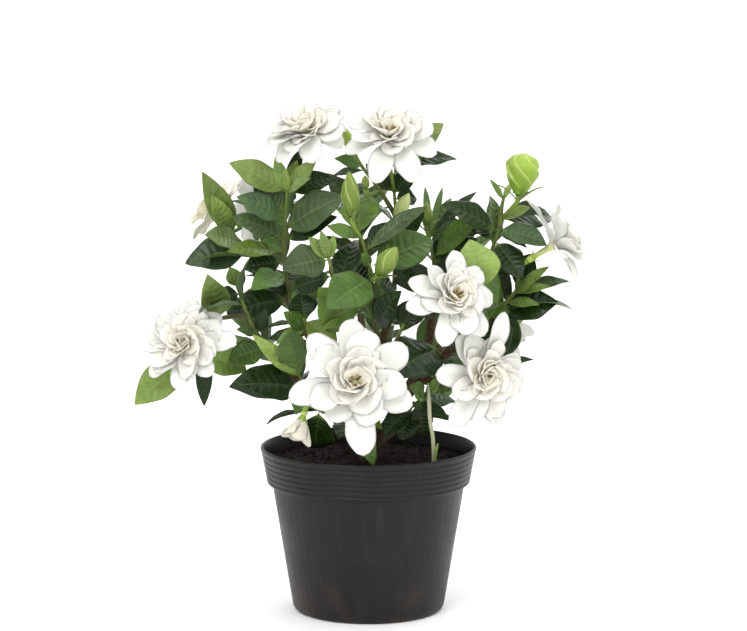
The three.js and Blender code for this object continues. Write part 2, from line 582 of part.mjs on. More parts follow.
function leafTestPoints(leaf) {
  return TEST_ALONG.flatMap((u) => TEST_ACROSS.map((s) => leafPoint(leaf, u, s, 0)));
}

function insidePot(point) {
  const radius = Math.hypot(point.x, point.y);
  const nearWall = radius > BODY_TOP_RADIUS - POT_CLEARANCE && radius < RIM_RADIUS + POT_CLEARANCE;
  const lowest = nearWall ? POT_HEIGHT + POT_CLEARANCE : SOIL_TOP + SOIL_BUMP + POT_CLEARANCE;
  return radius < RIM_RADIUS + POT_CLEARANCE && point.z < lowest;
}

// Leaves of the same stem may come close at their stalks, so only their outer halves are tested
function isClear(owner, points) {
  if (points.some(insidePot)) return false;
  const box = new THREE.Box3().setFromPoints(points);
  const outer = points.slice(2 * TEST_ACROSS.length);
  return obstacles.every((other) => {
    const sister = other.owner === owner;
    if (sister && !other.leafy) return true;
    const clearance = sister ? SISTER_CLEARANCE : other.clearance;
    if (!other.box.clone().expandByScalar(clearance).intersectsBox(box)) return true;
    const mine = sister ? outer : points;
    const theirs = sister ? other.points.slice(2 * TEST_ACROSS.length) : other.points;
    return !mine.some((a) => theirs.some((b) => a.distanceToSquared(b) < clearance * clearance));
  });
}

// The first of some candidate leaves that is clear, or null
function firstClear(owner, candidates) {
  const leaf = candidates.find((candidate) => isClear(owner, leafTestPoints(candidate)));
  if (!leaf) return null;
  addObstacle(owner, leafTestPoints(leaf), LEAF_CLEARANCE, true);
  return leaf;
}

// Blooms

// A bloom's frame: its throat, the way it faces, and up and right as its viewer sees them
function bloomFrame(row) {
  const axis = new THREE.Vector3(...row.facing).normalize();
  const throat = seen(row.throat);
  const up = UP.clone().addScaledVector(axis, -UP.dot(axis)).normalize();
  const right = up.clone().cross(axis);
  const calyx = throat.clone().addScaledVector(axis, -row.tube);
  return { axis, throat, up, right, calyx };
}

// Rings of petals. share is their length as a share of the bloom's size and width their width as a
// share of their length; lean is the rise at the root and curl the rise at the tip, in degrees
// from the bloom's plane; root and height place the root inside the core, in mm.
const OUTER_RING = { width: 0.47, lean: 22, cup: 0.2, root: 2.2, height: -0.5 };
const MIDDLE_RING = {
  count: 5, turn: 28, share: 0.58, width: 0.7, lean: 50, curl: 14, cup: 0.4, root: 2, height: 1,
};
const INNER_RING = {
  count: 3, turn: 50, share: 0.38, width: 0.66, lean: 74, curl: 44, cup: 0.6, root: 1.6, height: 2.4,
};

function ringPetals(size, ring) {
  const length = size * ring.share;
  return Array.from({ length: ring.count }, (_, i) => ({
    ...ring, length, width: length * ring.width, clock: ring.turn + (360 * i) / ring.count,
    stations: INNER_PETAL_STATIONS,
  }));
}

// The petals of a bloom from the outside in; small blooms have no inner ring
function bloomPetals(row) {
  const full = row.size > FULL_BLOOM;
  const stations = full ? PETAL_STATIONS : SIMPLE_PETAL_STATIONS;
  const width = row.size * OUTER_RING.width;
  const outer = row.petals.map(([clock, share]) => (
    { ...OUTER_RING, curl: row.reflex, clock, length: row.size * share, width, stations }));
  const inner = full ? ringPetals(row.size, INNER_RING) : [];
  return [...outer, ...ringPetals(row.size, MIDDLE_RING), ...inner];
}

function petalOutline(u) {
  return Math.sin(Math.PI * u ** 1.5);
}

// The point of a petal at u along and s across, above its middle surface
function petalPoint(frame, petal, u, s, above) {
  const clock = THREE.MathUtils.degToRad(petal.clock);
  const lean = THREE.MathUtils.degToRad(petal.lean);
  const bend = THREE.MathUtils.degToRad(petal.curl) - lean;
  const angle = lean + bend * u;
  const reach = (petal.length * (Math.sin(angle) - Math.sin(lean))) / bend;
  const rise = (petal.length * (Math.cos(lean) - Math.cos(angle))) / bend;
  const outward = frame.up.clone().multiplyScalar(Math.cos(clock))
    .addScaledVector(frame.right, Math.sin(clock));
  const side = frame.axis.clone().cross(outward);
  const normal = frame.axis.clone().multiplyScalar(Math.cos(angle))
    .addScaledVector(outward, -Math.sin(angle));
  const half = u > 0 && u < 1 ? (petal.width / 2) * petalOutline(u) : 0;
  const lift = half * (petal.cup * s * s + PETAL_LAP * s) + above;
  return frame.throat.clone().addScaledVector(outward, petal.root + reach)
    .addScaledVector(frame.axis, petal.height + rise)
    .addScaledVector(side, s * half).addScaledVector(normal, lift);
}

function petalSolid(frame, petal) {
  return solid(sheet(petal.stations, (u, s, face) => {
    const inside = s === 0 && u > 0 && u < 1 ? PETAL_HALF_THICKNESS : 0;
    return petalPoint(frame, petal, u, s, face * inside);
  }));
}

// The tube behind the throat and the throat's solid middle, which every petal grows from
function bloomCore(row, frame) {
  const foot = STEM_GAP - row.tube;
  const profile = [[0, foot], [2.3, foot], [5, -1], [4.2, 3.5], [0, 6.5]];
  return solid(turnedAlong(profile, 4, frame.throat, frame.axis));
}

function bloomNode(row) {
  const frame = bloomFrame(row);
  const petals = bloomPetals(row).map((petal) => petalSolid(frame, petal));
  const material = row.name === 'bloom_spent' ? 'spent' : 'petal';
  return node(row.name, joined([bloomCore(row, frame), ...petals]), material);
}

function bloomObstacle(row) {
  const frame = bloomFrame(row);
  const points = bloomPetals(row).flatMap((petal) => [0.3, 0.5, 0.7, 0.88, 1].flatMap(
    (u) => [-1, 0, 1].map((s) => petalPoint(frame, petal, u, s, 0))));
  const tube = [0, 0.25, 0.5, 0.75].map((share) => frame.calyx.clone().lerp(frame.throat, share));
  addObstacle(row.name, [...points, ...tube], PETAL_CLEARANCE, false);
}

// Buds

function budFrame(row) {
  const base = seen(row.base);
  const axis = seen(row.tip).sub(base);
  const length = axis.length();
  axis.normalize();
  return { base, axis, length };
}

function budNode(row) {
  const { base, axis, length } = budFrame(row);
  const r = row.radius;
  const profile = [[0, STEM_GAP], [0.42 * r, STEM_GAP], [0.8 * r, 0.22 * length], [r, 0.45 * length],
    [0.72 * r, 0.72 * length], [0.3 * r, 0.92 * length], [0, length]];
  return node(row.name, solid(turnedAlong(profile, 6, base, axis)), 'bud');
}

function budObstacle(row) {
  const { base, axis, length } = budFrame(row);
  const points = [0.1, 0.25, 0.4, 0.55, 0.7, 0.85, 1]
    .map((u) => base.clone().addScaledVector(axis, u * length));
  addObstacle(row.name, points, row.radius + STEM_CLEARANCE, false);
}

// Stems

// A route cut where the bark ends: the trunk's points and the leafy stem's, in line there.
// It starts on the trunk as laid out so far.
function splitRoute(row, trunkSamples) {
  const points = row.route.map(seen);
  if (trunkSamples.length > 0) points[0] = nearestPoint(trunkSamples, points[0]);
  const joint = points[row.woody - 1];
  const along = points[row.woody].clone().sub(points[row.woody - 2]).normalize();
  const ahead = (distance) => joint.clone().addScaledVector(along, distance);
  return {
    trunk: [...points.slice(0, row.woody - 1), ahead(-2), joint],
    shoot: [ahead(STEM_GAP), ahead(STEM_GAP + 2), ...points.slice(row.woody)],
  };
}

// Points along the middle of a route's stem, several on each of its straight lengths
function routeSamples(points, step = SHOOT_STEP) {
  const rings = new Route(points).getSpacedPoints(stepCount(points, step));
  const samples = [rings[0]];
  for (let i = 1; i < rings.length; i += 1) {
    for (let part = 1; part <= SAMPLES_PER_STEP; part += 1) {
      samples.push(rings[i - 1].clone().lerp(rings[i], part / SAMPLES_PER_STEP));
    }
  }
  return samples;
}

// The same points without the stem's very end, so that what is rooted there is sunk in
function rootSamples(samples) {
  const [before, end] = samples.slice(-2);
  return [...samples.slice(0, -1), before.clone().lerp(end, 0.6)];
}

function nearestPoint(samples, point) {
  return samples[nearestIndex(samples, (sample) => sample.distanceToSquared(point))];
}

// The sample of a leafy stem that lies nearest to a picture place
function nearestOnStem(samples, x, y) {
  return samples[nearestIndex(samples, (point) => {
    const [px, py] = pictured(point);
    return Math.hypot(px - x, py - y);
  })];
}

// The stalk from a stem to a bloom or bud: it ends in line with what it carries
function stalkRoute(samples, root, end, axis) {
  const start = nearestOnStem(samples, ...root);
  const before = end.clone().addScaledVector(axis, -6);
  return [start, before, end];
}

// The slender lobes that stand round a bud
function calyxLobes(end, axis, height, spread) {
  const across = Math.abs(axis.x) > 0.5 ? TO_VIEWER : VIEW_RIGHT;
  const first = across.clone().addScaledVector(axis, -across.dot(axis)).normalize();
  return [20, 110, 200, 290].map((angle, i) => {
    const out = first.clone().applyAxisAngle(axis, THREE.MathUtils.degToRad(angle));
    const base = end.clone().addScaledVector(axis, -LOBE_SINK).addScaledVector(out, 0.8);
    const tip = base.clone().addScaledVector(axis, height).addScaledVector(out, spread);
    return leafBetween(base, tip, axis.clone().multiplyScalar(0.5).sub(out), 2.6, 'lime', i);
  });
}

// Leaves drawn over the front view. One that would touch something swings nearer or further
// along the line of sight, so that it stays in its place in that view.
const SWINGS = [0, -7, 7, -14, 14, -21, 21, -28, 28, -36, 36];
const SHORTENINGS = [1, 0.86, 0.72];

function drawnLeaf(owner, samples, row) {
  const [kind, tipX, tipY, depth, baseX, baseY, width, turn] = row;
  const base = nearestOnStem(samples, baseX, baseY);
  const phase = 6 * chance();
  const angle = THREE.MathUtils.degToRad(turn);
  const facing = UP.clone().multiplyScalar(Math.cos(angle)).addScaledVector(TO_VIEWER, Math.sin(angle));
  const candidates = SHORTENINGS.flatMap((share) => SWINGS.map((swing) => {
    const tip = base.clone().lerp(seen([tipX, tipY, depth + swing]), share);
    return leafBetween(base, tip, facing, width * VIEW_UNIT * FORESHORTENING, kind, phase);
  }));
  return firstClear(owner, candidates);
}

// Leaves that follow a rule: whorls up the stem, each turned from the one below, leaning out
const RULED_KINDS = ['dark', 'dark', 'mid', 'grey'];
const WHORL_TURN = 1.2;
const WHORL_TRIES = [[0, 0], [0.35, 0.2], [-0.35, 0.2], [0, -0.35], [0.5, -0.2], [-0.5, -0.2], [0.9, 0.3],
  [-0.9, 0.3], [0, 0.5], [1.3, 0], [-1.3, 0]];

function ruledLeaves(owner, samples, [first, last, number, each]) {
  const leaves = [];
  for (let whorl = 0; whorl < number; whorl += 1) {
    const share = number > 1 ? first + ((last - first) * whorl) / (number - 1) : first;
    const index = Math.round(share * (samples.length - 1));
    const base = samples[index];
    const before = samples[Math.max(index - 1, 0)];
    const after = samples[Math.min(index + 1, samples.length - 1)];
    const stem = after.clone().sub(before).normalize();
    for (let i = 0; i < each; i += 1) {
      const around = WHORL_TURN * whorl + (2 * Math.PI * (i + 0.3 * chance())) / each;
      const lean = 0.25 + 0.5 * chance() + 0.35 * share * share;
      const length = 40 + 18 * chance();
      const young = share > 0.85 && chance() > 0.5;
      const kind = young ? 'mid' : RULED_KINDS[Math.floor(RULED_KINDS.length * chance())];
      const phase = 6 * chance();
      const candidates = [1, 0.8, 0.62].flatMap((size) => WHORL_TRIES.map(([swing, tilt]) => (
        ruledLeaf(base, stem, around + swing, lean + tilt, length * size, kind, phase))));
      leaves.push(firstClear(owner, candidates));
    }
  }
  return leaves;
}

function ruledLeaf(base, stem, around, lean, length, kind, phase) {
  const level = new THREE.Vector3(Math.cos(around), Math.sin(around), 0);
  const out = level.addScaledVector(stem, -level.dot(stem)).normalize();
  const along = out.multiplyScalar(Math.cos(lean)).addScaledVector(stem, Math.sin(lean)).normalize();
  const tip = base.clone().addScaledVector(along, length);
  const outward = new THREE.Vector3(base.x, base.y, 0).normalize();
  const facing = UP.clone().addScaledVector(outward, 0.45);
  return leafBetween(base, tip, facing, length * 0.46, kind, phase);
}

// The plant: first every stem's place, then what blooms and buds hold, then the leaves

const LOBED_BUD_RADIUS = 5.5;
const LOBE_SINK = 5;
const LOBE_HEIGHT_SHARE = 0.24;

function stalksOf(row, samples) {
  const blooms = BLOOMS.filter((bloom) => bloom.stem === row.name).map((bloom) => {
    const { calyx, axis } = bloomFrame(bloom);
    return { end: calyx, axis, lobes: [], route: stalkRoute(samples, bloom.root, calyx, axis) };
  });
  const buds = BUDS.filter((bud) => bud.stem === row.name).map((bud) => {
    const { base, axis, length } = budFrame(bud);
    const height = LOBE_HEIGHT_SHARE * length + LOBE_SINK;
    const lobed = bud.radius > LOBED_BUD_RADIUS;
    const lobes = lobed ? calyxLobes(base, axis, height, bud.radius + LOBE_SINK) : [];
    return { end: base, axis, lobes, route: stalkRoute(samples, bud.root, base, axis) };
  });
  return [...blooms, ...buds];
}

function layOutStems() {
  const trunkSamples = [];
  return BRANCHES.map((row) => {
    const { trunk, shoot } = splitRoute(row, trunkSamples);
    trunkSamples.push(...routeSamples(trunk, TRUNK_STEP));
    const main = routeSamples(shoot);
    const sides = row.sides.map((side) => {
      const points = side.map(seen);
      return [nearestPoint(main, points[0]), ...points.slice(1)];
    });
    const samples = [main, ...sides.map((side) => routeSamples(side))].flatMap(rootSamples);
    const shoots = [shoot, ...sides];
    return { row, trunk, shoots, main: rootSamples(main), samples, stalks: stalksOf(row, samples) };
  });
}

function stemObstacles(branch) {
  const { row, trunk, samples, stalks } = branch;
  addObstacle('trunk', routeSamples(trunk, TRUNK_STEP), STEM_CLEARANCE + TRUNK_RADII[0] - 1, false);
  addObstacle(row.name, samples, STEM_CLEARANCE, false);
  stalks.forEach(({ route }) => addObstacle(row.name, routeSamples(route), STEM_CLEARANCE, false));
}

function leavesOf(branch) {
  const { row, main, samples, stalks } = branch;
  const rooted = [...samples, ...stalks.flatMap(({ route }) => rootSamples(routeSamples(route)))];
  const drawn = row.leaves.map((leaf) => drawnLeaf(row.name, rooted, leaf));
  return { drawn, ruled: ruledLeaves.bind(null, row.name, main, row.whorls) };
}

function leafyStemNode(branch, leaves) {
  const stems = branch.shoots.map((points) => stemSolid(points, SHOOT_RADII, SHOOT_STEP));
  const holders = branch.stalks.flatMap(({ lobes, route }) => [
    stemSolid(route, STALK_RADII, SHOOT_STEP),
    ...lobes.map(leafSolid),
  ]);
  return node(branch.row.name, joined([...stems, ...holders, ...leaves.map(leafSolid)]), 'leaf');
}

function crownProfile(extra) {
  return [[0, SOIL_TOP - CROWN_DEPTH - extra], [CROWN_RADIUS + extra, SOIL_TOP - CROWN_DEPTH - extra],
    [CROWN_RADIUS + extra, SOIL_TOP + 2 + 10 * extra]];
}

function trunkNode(branches) {
  const crown = solid(turned([...crownProfile(0), [5, CROWN_TOP - 2], [0, CROWN_TOP]], 10));
  const stems = branches.map(({ trunk }) => stemSolid(trunk, TRUNK_RADII, TRUNK_STEP));
  return node('trunk', joined([crown, ...stems]), 'bark');
}

// Pot and soil

// The inner wall's radius at a height
function innerRadius(height) {
  const bandFoot = POT_HEIGHT - BAND_HEIGHT;
  if (height > bandFoot) {
    return THREE.MathUtils.mapLinear(height, bandFoot, POT_HEIGHT, BODY_TOP_RADIUS + 1, RIM_RADIUS - RIM_LIP);
  }
  return THREE.MathUtils.mapLinear(height, 0, bandFoot, BODY_FOOT_RADIUS, BODY_TOP_RADIUS) - POT_WALL;
}

// The ridges of the rim band from its foot to the rim
function bandProfile() {
  const foot = POT_HEIGHT - BAND_HEIGHT;
  const pitch = (BAND_HEIGHT - 4) / BAND_RIDGES;
  const points = [];
  for (let ridge = 0; ridge < BAND_RIDGES; ridge += 1) {
    for (const [rise, depth] of [[0.25, RIDGE_DEPTH], [0.75, 0]]) {
      const height = foot + 2 + (ridge + rise) * pitch;
      const radius = THREE.MathUtils.mapLinear(height, foot, POT_HEIGHT, BAND_FOOT_RADIUS, RIM_RADIUS);
      points.push([radius - depth, height]);
    }
  }
  return points;
}

function potNode() {
  const bandFoot = POT_HEIGHT - BAND_HEIGHT;
  const profile = [
    [0, 0], [BODY_FOOT_RADIUS - FOOT_BEVEL, 0], [BODY_FOOT_RADIUS - 1.5, 2], [BODY_FOOT_RADIUS, FOOT_BEVEL],
    [BODY_TOP_RADIUS, bandFoot - 2], [BAND_FOOT_RADIUS, bandFoot], ...bandProfile(),
    [RIM_RADIUS, POT_HEIGHT - 1], [RIM_RADIUS - 0.6, POT_HEIGHT], [RIM_RADIUS - RIM_LIP, POT_HEIGHT],
    [innerRadius(bandFoot + 0.01), bandFoot], [innerRadius(bandFoot - 6), bandFoot - 6],
    [innerRadius(POT_FLOOR), POT_FLOOR], [0, POT_FLOOR],
  ];
  const shell = solid(turned(profile, POT_SIDES));
  const drill = new THREE.CylinderGeometry(DRAIN_RADIUS, DRAIN_RADIUS, 20, 8).rotateX(Math.PI / 2);
  const holes = Array.from({ length: DRAIN_HOLES }, (_, i) => {
    const angle = (2 * Math.PI * i) / DRAIN_HOLES;
    const x = DRAIN_CIRCLE * Math.cos(angle);
    const y = DRAIN_CIRCLE * Math.sin(angle);
    return solid(drill.clone().translate(x, y, 0));
  });
  return node('pot', shell.subtract(joined(holes)), 'pot');
}

function soilNode() {
  const floor = POT_FLOOR + GAP;
  const bandFoot = POT_HEIGHT - BAND_HEIGHT;
  const wall = [floor, bandFoot - 6, bandFoot, SOIL_TOP].map((z) => [innerRadius(z) - GAP, z]);
  const top = SOIL_RINGS.slice().reverse().map((radius) => [radius, SOIL_TOP]);
  const geometry = turned([[0, floor], ...wall, ...top], POT_SIDES);
  const place = geometry.attributes.position;
  for (let i = 0; i < place.count; i += 1) {
    const [x, y, z] = [place.getX(i), place.getY(i), place.getZ(i)];
    const inner = Math.hypot(x, y) < SOIL_RINGS[SOIL_RINGS.length - 1] + 1;
    if (inner && z > SOIL_TOP - 1) place.setZ(i, z + soilRise(x, y));
  }
  const grassRoot = solid(grassRootGeometry(GAP));
  const hole = solid(turned([...crownProfile(GAP), [0, SOIL_TOP + 5]], 10));
  return node('soil', solid(geometry).subtract(hole).subtract(grassRoot), 'soil');
}

// Low lumps over the top of the soil
function soilRise(x, y) {
  return SOIL_BUMP * Math.sin(0.11 * x + 0.7) * Math.cos(0.13 * y - 0.4);
}

function grassRootGeometry(extra) {
  const foot = seen(DRY_GRASS[0]);
  const radius = GRASS_ROOT_RADIUS + extra;
  const profile = [[0, SOIL_TOP - GRASS_ROOT_DEPTH - extra], [radius, SOIL_TOP - GRASS_ROOT_DEPTH - extra],
    [radius, SOIL_TOP + 3 + 10 * extra], [0, SOIL_TOP + 3 + 10 * extra]];
  return turned(profile, 6).translate(foot.x, foot.y, 0);
}

// A flat blade of grass along a route
function grassBlade(route, width) {
  const foot = seen(route[0]);
  foot.z = SOIL_TOP + 1;
  const curve = new Route([foot, ...route.slice(1).map(seen)]);
  return solid(sheet([0, 0.25, 0.5, 0.75, 1], (u, s, face) => {
    const half = (width / 2) * Math.min(1, 3 * (1 - u) + 0.25);
    const inside = s === 0 && u > 0 && u < 1 ? 0.5 : 0;
    const point = curve.getPoint(u).addScaledVector(VIEW_RIGHT, u < 1 ? s * half : 0);
    return point.addScaledVector(TO_VIEWER, face * inside);
  }));
}

function grassNode() {
  const root = solid(grassRootGeometry(0));
  const blades = [grassBlade(DRY_GRASS, DRY_GRASS_WIDTH), grassBlade(GREEN_BLADE, 2.4)];
  return node('dry_grass', joined([root, ...blades]), 'grass');
}

function gardenia() {
  const branches = layOutStems();
  branches.forEach(stemObstacles);
  BLOOMS.forEach(bloomObstacle);
  BUDS.forEach(budObstacle);
  addObstacle('dry_grass', routeSamples(DRY_GRASS.map(seen)), STEM_CLEARANCE, false);
  const drawn = branches.map(leavesOf);
  const leaves = drawn.map(({ drawn: front, ruled }) => [...front, ...ruled()].filter(Boolean));
  const plant = new THREE.Group();
  plant.add(potNode(), soilNode(), trunkNode(branches), grassNode());
  branches.forEach((branch, i) => plant.add(leafyStemNode(branch, leaves[i])));
  plant.add(...BLOOMS.map(bloomNode), ...BUDS.map(budNode));
  return plant;
}

export default gardenia();
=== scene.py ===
# A gardenia in a black nursery pot. The stems, leaves, petals and buds are laid out from the
# tables below, in millimetres, in the frame's own axes; meshes are built in metres.
import functools
import itertools
import math

import bpy
import numpy as np
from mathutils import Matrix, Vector, noise


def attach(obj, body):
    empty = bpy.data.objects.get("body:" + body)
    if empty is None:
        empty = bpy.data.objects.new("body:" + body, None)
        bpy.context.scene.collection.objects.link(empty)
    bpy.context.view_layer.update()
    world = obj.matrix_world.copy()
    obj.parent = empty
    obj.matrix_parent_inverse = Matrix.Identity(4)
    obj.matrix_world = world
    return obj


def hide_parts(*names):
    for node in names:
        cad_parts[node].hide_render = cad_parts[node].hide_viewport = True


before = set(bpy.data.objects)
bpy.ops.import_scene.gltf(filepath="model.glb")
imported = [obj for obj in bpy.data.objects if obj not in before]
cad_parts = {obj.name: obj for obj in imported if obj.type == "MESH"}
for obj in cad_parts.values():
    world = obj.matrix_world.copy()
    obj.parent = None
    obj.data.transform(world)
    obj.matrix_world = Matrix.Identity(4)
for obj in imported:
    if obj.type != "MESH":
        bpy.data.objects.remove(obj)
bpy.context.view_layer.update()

MM = 0.001

# Pot
RIM_RADIUS = 90
POT_HEIGHT = 138
BAND_HEIGHT = 30.5
BAND_FOOT_RADIUS = 84.3
BODY_TOP_RADIUS = 80.2
BODY_FOOT_RADIUS = 63.7
FOOT_BEVEL = 6
POT_WALL = 2
POT_FLOOR = 3
RIM_LIP = 2.4
RIDGES = 6
RIDGE_DEPTH = 0.7
FLUTES = 60
FLUTE_DEPTH = 0.12
POT_SIDES = 240
DRAIN_HOLES = 6
DRAIN_RADIUS = 4.5
DRAIN_CIRCLE = 47

# Soil
SOIL_TOP = 126
SOIL_BUMP = 1.6
GAP = 0.3

# Stems
CROWN_RADIUS = 8
CROWN_DEPTH = 26
CROWN_TOP = 137
TRUNK_RADII = (4.2, 2.4)
SHOOT_RADII = (2.2, 1.3)
STALK_RADII = (1.3, 2.5)
STEM_GAP = 0.5
TRUNK_STEP = 36
SHOOT_STEP = 28
SAMPLES_PER_STEP = 4

# Leaves and petals
LEAF_STALK = 0.1
LEAF_STALK_HALF = 0.85
LEAF_HALF_THICKNESS = 0.3
PETAL_HALF_THICKNESS = 0.3
PETAL_LAP = 0.22
FULL_BLOOM = 39

# What a leaf keeps clear of, in mm
LEAF_CLEARANCE = 4.6
SISTER_CLEARANCE = 2.2
STEM_CLEARANCE = 4.6
PETAL_CLEARANCE = 4.6
POT_CLEARANCE = 3

# The front view that the plant is laid out over: places are picture x and y in units of
# 0.833 mm at the pot, and the depth in mm behind the pot's axis
VIEW_EYE = np.array((4.2, -2400.0, 587.0))
VIEW_PITCH = math.radians(8.06)
VIEW_FOCAL = 2927
VIEW_CENTRE = (373.5, 315.5)
VIEW_WIDTH = 747
VIEW_UNIT = 0.833
FORESHORTENING = 1.08

